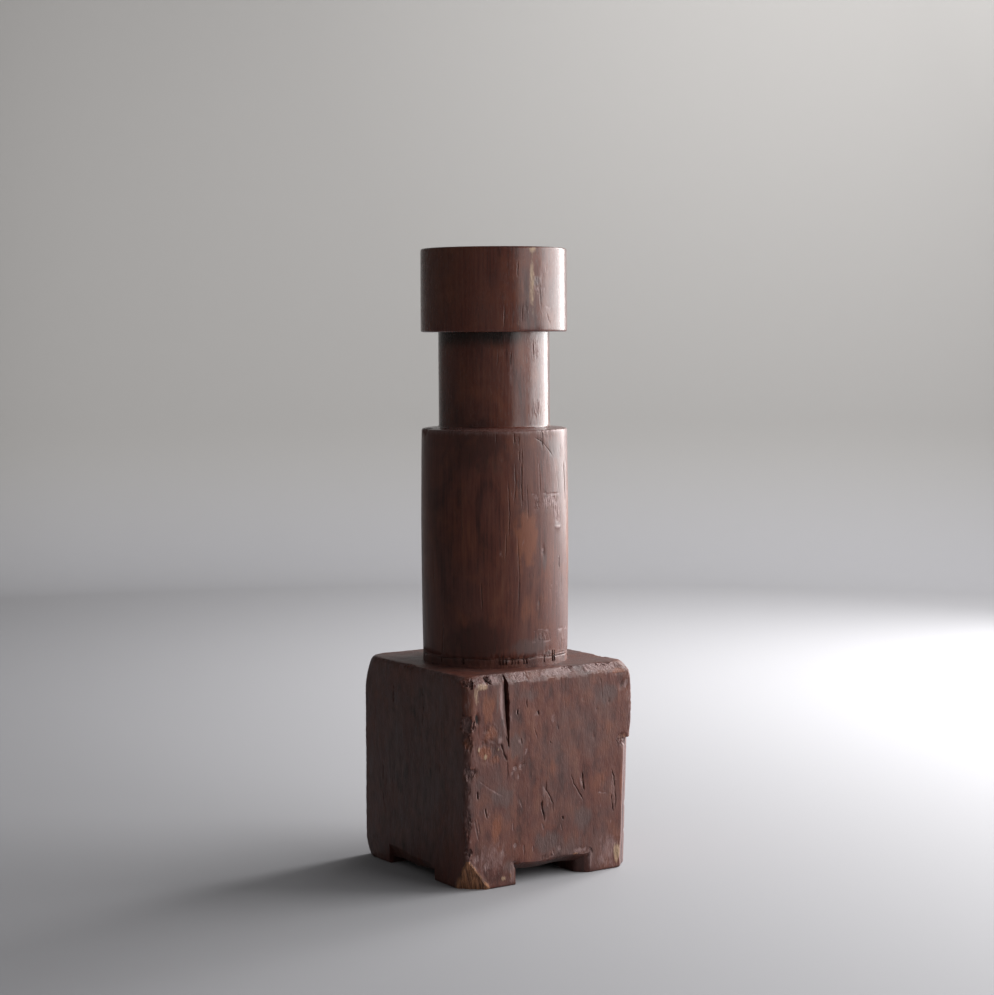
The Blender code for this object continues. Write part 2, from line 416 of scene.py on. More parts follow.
def new_object(
    name: str, vertices: np.ndarray, faces: list, finish: bpy.types.Material | None
) -> bpy.types.Object:
    """Makes an object of points and faces, turned so that every face points outwards.

    Args:
        name: What the object is called.
        vertices: One row of X, Y and Z for each point.
        faces: The points of each face.
        finish: Its material, or None.

    Returns:
        The object, linked to the scene.
    """
    mesh = bpy.data.meshes.new(name)
    mesh.from_pydata(vertices.tolist(), [], faces)
    data = bmesh.new()
    data.from_mesh(mesh)
    bmesh.ops.recalc_face_normals(data, faces=data.faces)
    data.to_mesh(mesh)
    data.free()
    if finish:
        mesh.materials.append(finish)
    obj = bpy.data.objects.new(name, mesh)
    bpy.context.scene.collection.objects.link(obj)
    return obj


def lofted(rings: list[np.ndarray]) -> tuple[np.ndarray, list]:
    """A closed skin through rings of points, with a face across each end.

    Args:
        rings: Loops with as many points as each other.

    Returns:
        The points and the faces.
    """
    count = len(rings[0])
    faces: list = []
    for level in range(len(rings) - 1):
        base = level * count
        for i in range(count):
            j = (i + 1) % count
            faces.append((base + i, base + j, base + count + j, base + count + i))
    last = (len(rings) - 1) * count
    faces.append(tuple(range(count - 1, -1, -1)))
    faces.append(tuple(range(last, last + count)))
    return np.vstack(rings), faces


def gridded(corners: list[tuple[float, float]], steps: list[int]) -> np.ndarray:
    """A closed outline through corners, with each edge divided evenly.

    Args:
        corners: The corners, in order.
        steps: How many parts each edge has.

    Returns:
        One row for each point.
    """
    points = []
    for index, count in enumerate(steps):
        start, end = np.array(corners[index]), np.array(corners[(index + 1) % len(corners)])
        points += [start + (end - start) * step / count for step in range(count)]
    return np.array(points)


@dataclass(frozen=True)
class Cuts:
    """What is cut out of the block: two channels, the shake and the front foot's broken tip."""

    front_foot_on_front: float = 0.066
    right_foot_on_front: float = 0.061
    front_foot_on_left: float = 0.071
    left_foot_on_left: float = 0.058
    front_channel: float = 0.015
    front_mouth: float = 0.0245
    front_mouth_depth: float = 0.013
    front_mouth_splay: float = 0.013
    left_channel: float = 0.0088
    left_mouth_high: float = 0.0245
    left_mouth_low: float = 0.016
    left_mouth_depth: float = 0.006
    shake_from_corner: float = 0.052
    shake_length: float = 0.084
    shake_width: float = 0.0115
    shake_depth: float = 0.014
    shake_drift: float = 0.006
    shake_tip: float = 0.05
    shake_slope: float = 0.0033  # how deep its left side has sloped when the split opens
    break_height: float = 0.036
    break_on_front: float = 0.029
    break_on_left: float = 0.026
    break_reach: float = 0.042  # half the size of the slab that takes the tip off
    spacing: float = 0.005  # of the faces in the channels
    mouth_spacing: float = 0.0026

    def _stations(self, start: float, mouth: float, end: float) -> list[float]:
        """Places along a channel, close together in its mouth.

        Args:
            start: Where the cutter begins.
            mouth: Where the mouth ends.
            end: Where the cutter ends.

        Returns:
            The places, in order.
        """
        near = max(2, round((mouth - start) / self.mouth_spacing))
        far = round((end - mouth) / self.spacing)
        places = [start + (mouth - start) * step / near for step in range(near)]
        return places + [mouth + (end - mouth) * step / far for step in range(far + 1)]

    def front_channel_cutter(self, block: Block) -> bpy.types.Object:
        """The channel from the front face through to the back, with its chopped mouth.

        Args:
            block: The block it cuts.

        Returns:
            The cutter.
        """
        half = block.half
        low = -half + self.front_foot_on_front
        high = half - self.right_foot_on_front
        rings = []
        start, mouth_end = -half - OVERRUN, -half + self.front_mouth_depth
        for y in self._stations(start, mouth_end, half + OVERRUN):
            share = max(0.0, (mouth_end - y) / self.front_mouth_depth)
            roof = self.front_channel + (self.front_mouth - self.front_channel) * share
            side = high - self.front_mouth_splay * (1 - share)
            wobble = 0.0005 * math.sin(210 * y + 1)
            corners = [(low + wobble, -OVERRUN), (side + wobble, -OVERRUN)]
            corners += [(side, roof), (low, roof)]
            ring = gridded(corners, [4, 6, 34, 6])
            ring[:, 1] += 0.0011 * np.sin(95 * ring[:, 0] + 60 * y) * (ring[:, 1] > roof / 2)
            rings.append(np.column_stack((ring[:, 0], np.full(len(ring), y), ring[:, 1])))
        return new_object("front channel cutter", *lofted(rings), None)

    def left_channel_cutter(self, block: Block) -> bpy.types.Object:
        """The channel from the left face through to the right, with its sloping mouth.

        Args:
            block: The block it cuts.

        Returns:
            The cutter.
        """
        half = block.half
        low = -half + self.front_foot_on_left
        high = half - self.left_foot_on_left
        rings = []
        start, mouth_end = -half - OVERRUN, -half + self.left_mouth_depth
        for x in self._stations(start, mouth_end, half + block.split.swell + OVERRUN):
            share = max(0.0, (mouth_end - x) / self.left_mouth_depth)
            near = self.left_channel + (self.left_mouth_low - self.left_channel) * share
            far = self.left_channel + (self.left_mouth_high - self.left_channel) * share
            corners = [(low, -OVERRUN), (high, -OVERRUN), (high, far), (low, near)]
            ring = gridded(corners, [4, 5, 32, 5])
            lift = 0.0009 * np.sin(105 * ring[:, 0] + 75 * x)
            ring[:, 1] += lift * (ring[:, 1] > self.left_channel / 2)
            rings.append(np.column_stack((np.full(len(ring), x), ring[:, 0], ring[:, 1])))
        return new_object("left channel cutter", *lofted(rings), None)

    def shake_cutter(self, block: Block) -> bpy.types.Object:
        """The wedge that opens the shake: widest at the top, closing and wandering downwards.

        Args:
            block: The block it cuts.

        Returns:
            The cutter.
        """
        rings = []
        steps = 34
        face = -block.half
        for step in range(steps + 1):
            share = step / steps
            height = between(block.height - self.shake_length, block.height + OVERRUN, share)
            opening = max(self.shake_tip, min(1.0, (share / 0.5) ** 0.7))
            opening *= 1 - 0.3 * max(0.0, share - 0.75) / 0.25
            ragged = 0.0005 * math.sin(1.7 * step) + 0.0006 * math.sin(0.61 * step + 2)
            ragged *= opening
            half_width = self.shake_width / 2 * opening
            middle = face + self.shake_from_corner + self.shake_drift * (1 - share) ** 2
            left, right = middle - half_width + ragged, middle + half_width + 0.7 * ragged
            corners = [
                (left - 0.0012 * opening, face),
                (left - 0.0012 * opening, face - OVERRUN),
                (right, face - OVERRUN),
                (right, face),
                (right - 0.0011 * opening, face + self.shake_depth * opening),
                (middle + 0.0012 * opening, face + self.shake_slope * opening),
            ]
            ring = gridded(corners, [1, 1, 1, 7, 5, 5])
            rings.append(np.column_stack((ring, np.full(len(ring), height))))
        return new_object("shake cutter", *lofted(rings), None)

    def break_cutter(self, block: Block) -> bpy.types.Object:
        """The slab that takes the tip off the front foot, along a slanting, splintered plane.

        Args:
            block: The block it cuts.

        Returns:
            The cutter.
        """
        half, steps, levels = block.half, 76, 26
        on_left = Vector((-half, -half + self.break_on_left, 0.0))
        on_front = Vector((-half + self.break_on_front, -half, 0.0))
        above = Vector((-half, -half, self.break_height))
        outward = (on_front - on_left).cross(above - on_left).normalized()
        if outward.x > 0:
            outward.negate()
        along = (on_front - on_left).normalized()
        upward = along.cross(outward)
        if upward.z < 0:
            upward.negate()
        middle = (on_left + on_front + above) / 3
        reach = self.break_reach
        rings = []
        for level in range(levels + 1):
            rise = reach * (2 * level / levels - 1)
            ring = []
            for step in range(steps + 1):
                side = reach * (2 * step / steps - 1)
                place = middle + along * side + upward * rise
                torn = 0.7 * noise.noise(Vector((side * 520, rise * 55, 3.0)))
                torn += 1.3 * noise.noise(Vector((side * 150, rise * 40, 8.0)))
                ring.append(place + outward * (0.0011 * torn))
            ring.append(middle + along * reach + upward * rise + outward * reach)
            ring.append(middle - along * reach + upward * rise + outward * reach)
            rings.append(np.array(ring))
        return new_object("broken tip cutter", *lofted(rings), None)


# ---------------------------------------------------------------------------------------------
# Node trees


class Graph:
    """Adds nodes to a tree and joins them, so that a tree reads as a list of steps."""

    def __init__(self, tree: bpy.types.NodeTree) -> None:
        """Starts with a tree, which keeps whatever nodes it has."""
        self.tree = tree

    def add(self, kind: str, values: dict | None = None, **settings: object) -> bpy.types.Node:
        """Adds a node.

        Args:
            kind: Blender's own name for the node's type.
            values: What goes into its inputs by name or number: a socket, or a plain value.
            settings: The node's own options.

        Returns:
            The node.
        """
        node = self.tree.nodes.new(kind)
        for name, value in settings.items():
            setattr(node, name, value)
        for name, value in (values or {}).items():
            self.feed(node.inputs[name], value)
        return node

    def feed(self, socket: bpy.types.NodeSocket, value: object) -> None:
        """Links another socket to this one, or sets its value.

        Args:
            socket: The input.
            value: Another socket, or a plain value.
        """
        if isinstance(value, bpy.types.NodeSocket):
            self.tree.links.new(value, socket)
        else:
            socket.default_value = value

    def math(self, operation: str, *values: object) -> bpy.types.NodeSocket:
        """One sum of numbers, in the order that its operation takes them."""
        node = self.add("ShaderNodeMath", dict(enumerate(values)), operation=operation)
        return node.outputs[0]

    def vector(self, operation: str, *values: object) -> bpy.types.NodeSocket:
        """One sum of vectors."""
        node = self.add("ShaderNodeVectorMath", dict(enumerate(values)), operation=operation)
        return node.outputs["Vector"]

    def noise(
        self, place: bpy.types.NodeSocket, scale: float, detail: float = 2.0, rough: float = 0.5
    ) -> bpy.types.NodeSocket:
        """A smooth random value from 0 to 1 at each place.

        Args:
            place: The coordinates.
            scale: How many features there are to a metre.
            detail: How many finer layers are laid over them.
            rough: How strong those layers are.

        Returns:
            The value's socket.
        """
        values = {"Vector": place, "Scale": scale, "Detail": detail, "Roughness": rough}
        return self.add("ShaderNodeTexNoise", values).outputs[0]

    def remap(
        self, value: object, low: float, high: float, to_low: float = 0.0, to_high: float = 1.0
    ) -> bpy.types.NodeSocket:
        """Stretches one range of a value smoothly over another, held at the ends."""
        node = self.add(
            "ShaderNodeMapRange",
            {"Value": value, 1: low, 2: high, 3: to_low, 4: to_high},
            interpolation_type="SMOOTHSTEP",
        )
        return node.outputs[0]

    def mix(self, share: object, first: object, second: object) -> bpy.types.NodeSocket:
        """A colour that goes from the first to the second as share goes from 0 to 1."""
        node = self.add(
            "ShaderNodeMix", {0: share, 6: first, 7: second}, data_type="RGBA", blend_type="MIX"
        )
        return node.outputs[2]

    def blend(self, share: object, first: object, second: object) -> bpy.types.NodeSocket:
        """A number that goes from the first to the second as share goes from 0 to 1."""
        node = self.add("ShaderNodeMix", {0: share, 2: first, 3: second}, data_type="FLOAT")
        return node.outputs[0]


class Mask(Enum):
    """The point attributes that carry the marks into the relief and the finish."""

    HEWN = "hewn"  # the squared block
    TURNED = "turned"  # the drum, neck and cap
    TORN = "torn"  # rough, broken fibres
    BARE = "bare"  # wood that the oil never reached
    RUBBED = "rubbed"  # pale and dull from knocks and handling, and painted highlights on lit rims, flecks and knocks
    GRIMY = "grimy"  # dirt, and painted shade in hollows, channels, under the cap and on sides turned from the light
    REDDER = "redder"  # warmer, redder wood
    GREYER = "greyer"  # wood with a purplish grey bloom, and painted light on the shake's slope
    RAW = "raw"  # small pale places where the wood is freshly broken
    LINE = "crack_across"  # millimetres from the nearest crack's middle, with a sign
    NEAR = "crack_near"  # how strong a crack's painted shade is: 1 along a crack, falling to 0 beside it
    HELD = "held"  # 0 where the surface must stay put


def modified_mesh(obj: bpy.types.Object) -> bpy.types.Mesh:
    """The object's mesh as its modifiers leave it, as plain new mesh data."""
    bpy.context.view_layer.update()
    depsgraph = bpy.context.evaluated_depsgraph_get()
    return bpy.data.meshes.new_from_object(obj.evaluated_get(depsgraph), depsgraph=depsgraph)


def apply_booleans(obj: bpy.types.Object, operation: str, others: list) -> None:
    """Joins or cuts an object with others, which are used up, and leaves it a plain mesh.

    Args:
        obj: The object that is changed.
        operation: UNION or DIFFERENCE.
        others: The objects that join it or cut it, in turn.
    """
    for other in others:
        modifier = obj.modifiers.new(other.name, "BOOLEAN")
        modifier.operation = operation
        modifier.solver = "EXACT"
        modifier.object = other
    mesh = modified_mesh(obj)
    obj.modifiers.clear()
    obj.data = mesh
    for other in others:
        bpy.data.objects.remove(other, do_unlink=True)


def add_nodes_modifier(
    obj: bpy.types.Object, tree: bpy.types.NodeTree, values: dict[str, object]
) -> None:
    """Puts a Geometry Nodes modifier on an object and sets its inputs by identifier.

    Args:
        obj: The object that gets the modifier.
        tree: The tree it runs.
        values: What each named input is set to.
    """
    modifier = obj.modifiers.new(tree.name, "NODES")
    modifier.node_group = tree
    identifiers = {
        item.name: item.identifier
        for item in tree.interface.items_tree
        if item.item_type == "SOCKET" and item.in_out == "INPUT"
    }
    for name, value in values.items():
        modifier[identifiers[name]] = value


def new_tree(name: str, inputs: dict[str, str]) -> tuple[Graph, bpy.types.Node, bpy.types.Node]:
    """Starts a Geometry Nodes tree with named inputs.

    Args:
        name: The tree's name.
        inputs: The socket type of each input after the geometry.

    Returns:
        The graph, the node with its inputs and the node with its output.
    """
    tree = bpy.data.node_groups.new(name, "GeometryNodeTree")
    tree.is_modifier = True
    tree.interface.new_socket("Geometry", in_out="INPUT", socket_type="NodeSocketGeometry")
    for label, kind in inputs.items():
        tree.interface.new_socket(label, in_out="INPUT", socket_type=kind)
    tree.interface.new_socket("Geometry", in_out="OUTPUT", socket_type="NodeSocketGeometry")
    graph = Graph(tree)
    return graph, graph.add("NodeGroupInput"), graph.add("NodeGroupOutput")


@dataclass(frozen=True)
class ChopMarks:
    """The chisel stabs round the drum's foot, where the round was chopped out of the square.

    Attributes:
        count: How many places there are round the ring.
        width: The widest stab at its foot.
        height: The tallest stab.
        depth: How far the deepest one goes in.
        present: The share of the places that have one.
        crowded: Where they crowd together, as two angles in degrees.
        crowded_present: The share of the places there that have one.
        seed: Which random pattern they follow.
    """

    count: int = 150
    width: float = 0.0024
    height: float = 0.0112
    depth: float = 0.0040
    present: float = 0.16
    crowded: tuple[float, float] = (-121.0, -96.0)
    crowded_present: float = 0.8
    seed: int = 5

    def _tree(self) -> bpy.types.NodeTree:
        """The tree that sets tapered stabs round a circle.

        Returns:
            The tree, with every size as a named input.
        """
        graph, given, result = new_tree(
            "chop marks",
            {
                "Count": "NodeSocketInt",
                "Ring Radius": "NodeSocketFloat",
                "Foot Height": "NodeSocketFloat",
                "Width": "NodeSocketFloat",
                "Height": "NodeSocketFloat",
                "Depth": "NodeSocketFloat",
                "Share Present": "NodeSocketFloat",
                "Crowded From": "NodeSocketFloat",
                "Crowded To": "NodeSocketFloat",
                "Share Crowded": "NodeSocketFloat",
                "Seed": "NodeSocketInt",
                "Finish": "NodeSocketMaterial",
            },
        )
        put = given.outputs
        circle = graph.add(
            "GeometryNodeMeshCircle", {"Vertices": put["Count"], "Radius": put["Ring Radius"]}
        )
        lift = graph.add("ShaderNodeCombineXYZ", {"Z": put["Foot Height"]})
        ring = graph.add(
            "GeometryNodeTransform", {0: circle.outputs[0], "Translation": lift.outputs[0]}
        )
        spike = graph.add(
            "GeometryNodeMeshCone",
            {"Vertices": 4, "Radius Top": 0.32, "Radius Bottom": 0.72, "Depth": 1.0},
        )
        squared = graph.add(
            "GeometryNodeTransform", {0: spike.outputs[0], "Rotation": (0.0, 0.0, math.pi / 4)}
        )
        sizes = graph.add(
            "ShaderNodeCombineXYZ", {"X": put["Depth"], "Y": put["Width"], "Z": put["Height"]}
        )
        stab = graph.add(
            "GeometryNodeTransform", {0: squared.outputs[0], "Scale": sizes.outputs[0]}
        )
        place = graph.add("GeometryNodeInputPosition").outputs[0]
        flat = graph.vector("MULTIPLY", place, (1.0, 1.0, 0.0))
        facing = graph.add(
            "FunctionNodeAlignRotationToVector", {"Vector": flat, "Factor": 1.0}, axis="X"
        )
        across = graph.add("ShaderNodeSeparateXYZ", {0: place}).outputs
        angle = graph.math("ARCTAN2", across[1], across[0])
        after_first = graph.math("GREATER_THAN", angle, put["Crowded From"])
        before_last = graph.math("LESS_THAN", angle, put["Crowded To"])
        crowd = graph.math("MULTIPLY", after_first, before_last)
        likely = graph.blend(crowd, put["Share Present"], put["Share Crowded"])
        chosen = graph.add(
            "FunctionNodeRandomValue",
            {"Probability": likely, "Seed": put["Seed"]},
            data_type="BOOLEAN",
        )
        varied = graph.add(
            "FunctionNodeRandomValue",
            {0: (0.45, 0.5, 0.5), 1: (1.2, 1.5, 1.2), "Seed": put["Seed"]},
            data_type="FLOAT_VECTOR",
        )
        stabs = graph.add(
            "GeometryNodeInstanceOnPoints",
            {
                "Points": ring.outputs[0],
                "Selection": chosen.outputs[3],
                "Instance": stab.outputs[0],
                "Rotation": facing.outputs[0],
                "Scale": varied.outputs[0],
            },
        )
        real = graph.add("GeometryNodeRealizeInstances", {0: stabs.outputs[0]})
        dressed = graph.add(
            "GeometryNodeSetMaterial", {0: real.outputs[0], "Material": put["Finish"]}
        )
        graph.feed(result.inputs[0], dressed.outputs[0])
        return graph.tree

    def cutter(self, block: Block, column: Column, finish: bpy.types.Material) -> bpy.types.Object:
        """The stabs as one cutter.

        Args:
            block: The block they stand on.
            column: The column they go into.
            finish: The material of what they cut.

        Returns:
            The cutter as a plain mesh object.
        """
        base = new_object("chop mark cutter", np.zeros((1, 3)), [], None)
        ring_radius = column.radius(column.ring_height / column.drum_height) - column.ring_depth
        add_nodes_modifier(
            base,
            self._tree(),
            {
                "Count": self.count,
                "Ring Radius": ring_radius,
                "Foot Height": block.height + self.height * 0.36,
                "Width": self.width,
                "Height": self.height,
                "Depth": self.depth,
                "Share Present": self.present,
                "Crowded From": math.radians(self.crowded[0]),
                "Crowded To": math.radians(self.crowded[1]),
                "Share Crowded": self.crowded_present,
                "Seed": self.seed,
                "Finish": finish,
            },
        )
        mesh = modified_mesh(base)
        base.modifiers.clear()
        base.data = mesh
        return base


@dataclass(frozen=True)
class WeatheredSurface:
    """The relief over the whole skin: waves left by the axe, raised grain and torn fibres.

    Attributes:
        hewn: Height of the broad unevenness on the block.
        fibre: Height of the raised grain on the block.
        turned: Height of the unevenness on the column.
        torn: Height of broken fibres.
        seed: Which random pattern it follows.
    """

    hewn: float = 0.0016
    fibre: float = 0.00018
    turned: float = 0.0007
    torn: float = 0.0026
    seed: float = 3.7

    def _tree(self) -> bpy.types.NodeTree:
        """The tree that moves each point of the skin along its normal.

        Returns:
            The tree, with every size as a named input.
        """
        graph, given, result = new_tree(
            "weathered surface",
            {
                "Hewn Relief": "NodeSocketFloat",
                "Fibre Relief": "NodeSocketFloat",
                "Turned Relief": "NodeSocketFloat",
                "Torn Relief": "NodeSocketFloat",
                "Seed": "NodeSocketFloat",
                "Finish": "NodeSocketMaterial",
            },
        )
        put = given.outputs
        place = graph.add("GeometryNodeInputPosition").outputs[0]

        def carried(mask: Mask) -> bpy.types.NodeSocket:
            """The value of one of the skin's masks."""
            return graph.add("GeometryNodeInputNamedAttribute", {"Name": mask.value}).outputs[0]

        def waves(stretch: tuple, scale: float, detail: float) -> bpy.types.NodeSocket:
            """Random values between -0.5 and 0.5, drawn out along the grain.

            Args:
                stretch: How close together they lie along X, Y and Z.
                scale: How many features there are to a metre.
                detail: How many finer layers are laid over them.

            Returns:
                The value's socket.
            """
            stretched = graph.vector("MULTIPLY", place, stretch)
            values = {"Vector": stretched, "W": put["Seed"], "Scale": scale, "Detail": detail}
            wave = graph.add("ShaderNodeTexNoise", values, noise_dimensions="4D")
            return graph.math("SUBTRACT", wave.outputs[0], 0.5)

        broad = waves((1.0, 1.0, 0.45), 22.0, 2.0)
        middling = waves((1.0, 1.0, 0.2), 105.0, 2.0)
        fibres = waves((1.0, 1.0, 0.06), 420.0, 2.0)
        splinters = waves((1.0, 1.0, 0.22), 330.0, 3.0)
        hewn = graph.math("MULTIPLY", carried(Mask.HEWN), put["Hewn Relief"])
        uneven = graph.math("MULTIPLY_ADD", middling, 0.55, broad)
        relief = graph.math("MULTIPLY", hewn, uneven)
        raised = graph.math("MULTIPLY_ADD", carried(Mask.TURNED), -0.75, 1.0)
        grain = graph.math("MULTIPLY", graph.math("MULTIPLY", fibres, put["Fibre Relief"]), raised)
        relief = graph.math("ADD", relief, grain)
        turned = graph.math("MULTIPLY", carried(Mask.TURNED), put["Turned Relief"])
        relief = graph.math("MULTIPLY_ADD", turned, broad, relief)
        torn = graph.math("MULTIPLY", carried(Mask.TORN), put["Torn Relief"])
        relief = graph.math("MULTIPLY_ADD", torn, graph.math("SUBTRACT", splinters, 0.12), relief)
        relief = graph.math("MULTIPLY", relief, carried(Mask.HELD))
        normal = graph.add("GeometryNodeInputNormal").outputs[0]
        shift = graph.add("ShaderNodeVectorMath", {0: normal, "Scale": relief}, operation="SCALE")
        moved = graph.add(
            "GeometryNodeSetPosition", {0: put["Geometry"], "Offset": shift.outputs[0]}
        )
        real = graph.add("GeometryNodeRealizeInstances", {0: moved.outputs[0]})
        dressed = graph.add(
            "GeometryNodeSetMaterial", {0: real.outputs[0], "Material": put["Finish"]}
        )
        graph.feed(result.inputs[0], dressed.outputs[0])
        return graph.tree

    def lay(self, obj: bpy.types.Object, finish: bpy.types.Material) -> None:
        """Lays the relief over an object and leaves it a plain mesh.

        Args:
            obj: The object with the skin and its masks.
            finish: The material it ends with.
        """
        add_nodes_modifier(
            obj,
            self._tree(),
            {
                "Hewn Relief": self.hewn,
                "Fibre Relief": self.fibre,
                "Turned Relief": self.turned,
                "Torn Relief": self.torn,
                "Seed": self.seed,
                "Finish": finish,
            },
        )
        mesh = modified_mesh(obj)
        obj.modifiers.clear()
        obj.data = mesh


# ---------------------------------------------------------------------------------------------
# The marks that time and use left in the skin


class Side(Enum):
    """The sides that marks lie on, each one seen straight on."""

    FRONT = (0, (0.0, 1.0, 0.0))
    RIGHT = (1, (-1.0, 0.0, 0.0))
    BACK = (0, (0.0, -1.0, 0.0))
    LEFT = (1, (1.0, 0.0, 0.0))
    ROUND = (2, (0.0, 0.0, 0.0))

    @property
    def axis(self) -> int:
        """Which coordinate runs across the side; 2 stands for the turn round the column."""
        return self.value[0]

    @property
    def inward(self) -> np.ndarray:
        """The direction into the wood."""
        return np.array(self.value[1])


MM_PER_DEGREE = 1.53  # round the drum and the cap


@dataclass
class Chart:
    """One side of the plinth laid flat, in millimetres.

    Attributes:
        members: Which points of the skin lie on it.
        across: Each one's place across the side.
        up: Each one's height.
        inward: The direction into the wood at each one.
    """

    members: np.ndarray
    across: np.ndarray
    up: np.ndarray
    inward: np.ndarray


def chart_of(side: Side, places: np.ndarray, normals: np.ndarray, block_height: float) -> Chart:
    """Lays one side flat.

    Args:
        side: Which side.
        places: All points, one row each.
        normals: The outward direction at each point.
        block_height: The height that parts the block from the column.

    Returns:
        The chart of the points that lie on that side.
    """
    is_column = places[:, 2] > block_height + 0.5 * MM
    if side is Side.ROUND:
        reach = np.hypot(places[:, 0], places[:, 1])
        members = np.nonzero(is_column & (np.abs(normals[:, 2]) < 0.8) & (reach > 0.03))[0]
        turn = np.degrees(np.arctan2(places[members, 1], places[members, 0]))
        inward = -places[members] / reach[members, None]
        inward[:, 2] = 0
        return Chart(members, turn * MM_PER_DEGREE, places[members, 2] / MM, inward)
    facing = -normals @ side.inward
    outside = -places @ side.inward
    members = np.nonzero(~is_column & (facing > 0.25) & (outside > 0.09))[0]
    across = places[members, side.axis] / MM
    inward = np.tile(side.inward, (len(members), 1))
    return Chart(members, across, places[members, 2] / MM, inward)


@dataclass
class Skin:
    """The plinth's skin as arrays: where its points are, and the masks painted on them."""

    places: np.ndarray
    normals: np.ndarray
    block_height: float
    masks: dict[Mask, np.ndarray] = field(default_factory=dict)
    charts: dict[Side, Chart] = field(default_factory=dict)

    def __post_init__(self) -> None:
        """Lays every side flat and starts with clean masks."""
        for side in Side:
            self.charts[side] = chart_of(side, self.places, self.normals, self.block_height)
        for mask in Mask:
            self.masks[mask] = np.zeros(len(self.places))

    def paint(self, mask: Mask, members: np.ndarray, amount: np.ndarray) -> None:
        """Raises a mask to an amount at some points, where it isn't higher already."""
        layer = self.masks[mask]
        layer[members] = np.maximum(layer[members], np.clip(amount, 0.0, 1.0))


@dataclass(frozen=True)
class Crack:
    """A crack, slit or scratch along the surface.

    Attributes:
        side: The side it lies on.
        path: Its bends, across and up, in millimetres; across in degrees round the column.
        width: How wide it is at most, in millimetres.
        depth: How deep, in millimetres.
        pale: How pale its lips are, from 0 to 1; a scratch is mostly pale.
        dark: How dark the painted shade in its middle is.
    """

    side: Side
    path: tuple[tuple[float, float], ...]
    width: float = 1.4
    depth: float = 1.6
    pale: float = 0.35
    dark: float = 1.0

    def _distance(self, chart: Chart) -> tuple[np.ndarray, np.ndarray]:
        """How far each point is from the crack, and how far along it.

        Args:
            chart: The side it lies on.

        Returns:
            The distance in millimetres, with a sign for the side, and the share of the length.
        """
        bends = np.array(self.path)
        if self.side is Side.ROUND:
            bends = bends * np.array((MM_PER_DEGREE, 1.0))
        lengths = np.hypot(*np.diff(bends, axis=0).T)
        total, done = lengths.sum(), 0.0
        nearest = np.full(len(chart.up), 1e6)
        share = np.zeros(len(chart.up))
        for start, end, length in zip(bends, bends[1:], lengths):
            along = (end - start) / length
            x, y = chart.across - start[0], chart.up - start[1]
            t = np.clip(x * along[0] + y * along[1], 0.0, length)
            off_x, off_y = x - t * along[0], y - t * along[1]
            sign = np.where(along[0] * y - along[1] * x >= 0, 1.0, -1.0)
            distance = np.hypot(off_x, off_y)
            closer = distance < np.abs(nearest)
            nearest = np.where(closer, sign * distance, nearest)
            share = np.where(closer, (done + t) / total, share)
            done += length
        return nearest, share

    def detail(self, chart: Chart) -> np.ndarray:
        """How finely the crack asks the mesh to be divided at each point: 0, 1 or 2 times.

        Args:
            chart: The side it lies on.

        Returns:
            The number for each point of the side.
        """
        distance = np.abs(self._distance(chart)[0])
        fine = max(self.pale, self.dark) > 0.4
        return (distance < 3.2).astype(int) + (fine & (distance < 1.3))

    def press(self, skin: Skin) -> None:
        """Sinks the crack into the skin and paints its masks.

        Args:
            skin: The skin that it changes.
        """
        chart = skin.charts[self.side]
        distance, share = self._distance(chart)
        close = np.abs(distance) < 6.0
        members, distance, share = chart.members[close], distance[close], share[close]
        if not len(members):
            return
        spots = skin.places[members]
        seed = int(abs(self.path[0][0]) + abs(self.path[0][1])) % 43
        distance = distance + 0.5 * grain_noise(spots, Vector((0.005, 0.005, 0.005)), seed)
        broken = 0.75 + 0.55 * grain_noise(spots, Vector((0.009, 0.009, 0.006)), seed + 3)
        taper = np.clip(np.minimum(share, 1 - share) * 6, 0.0, 1.0) * np.clip(broken, 0.15, 1.0)
        half = self.width / 2 * (0.35 + 0.65 * taper)
        groove = np.clip(1 - np.abs(distance) / (half + 0.35), 0.0, 1.0) * self.depth * taper
        lip = np.exp(-(((np.abs(distance) - half - 0.9) / 0.7) ** 2)) * taper
        raised = 0.1 * self.depth * lip
        skin.places[members] += chart.inward[close] * ((groove - raised) * MM)[:, None]
        nearness = np.clip(1.35 - np.abs(distance) / 3.0, 0.0, 1.0) * taper * self.dark
        stronger = nearness > skin.masks[Mask.NEAR][members]
        chosen = members[stronger]
        skin.masks[Mask.NEAR][chosen] = nearness[stronger]
        skin.masks[Mask.LINE][chosen] = (distance / np.maximum(half, 0.2))[stronger]
        if self.dark < 0.5:
            lip = np.exp(-((distance / (half + 0.35)) ** 2)) * taper
        skin.paint(Mask.RUBBED, members, lip * self.pale)


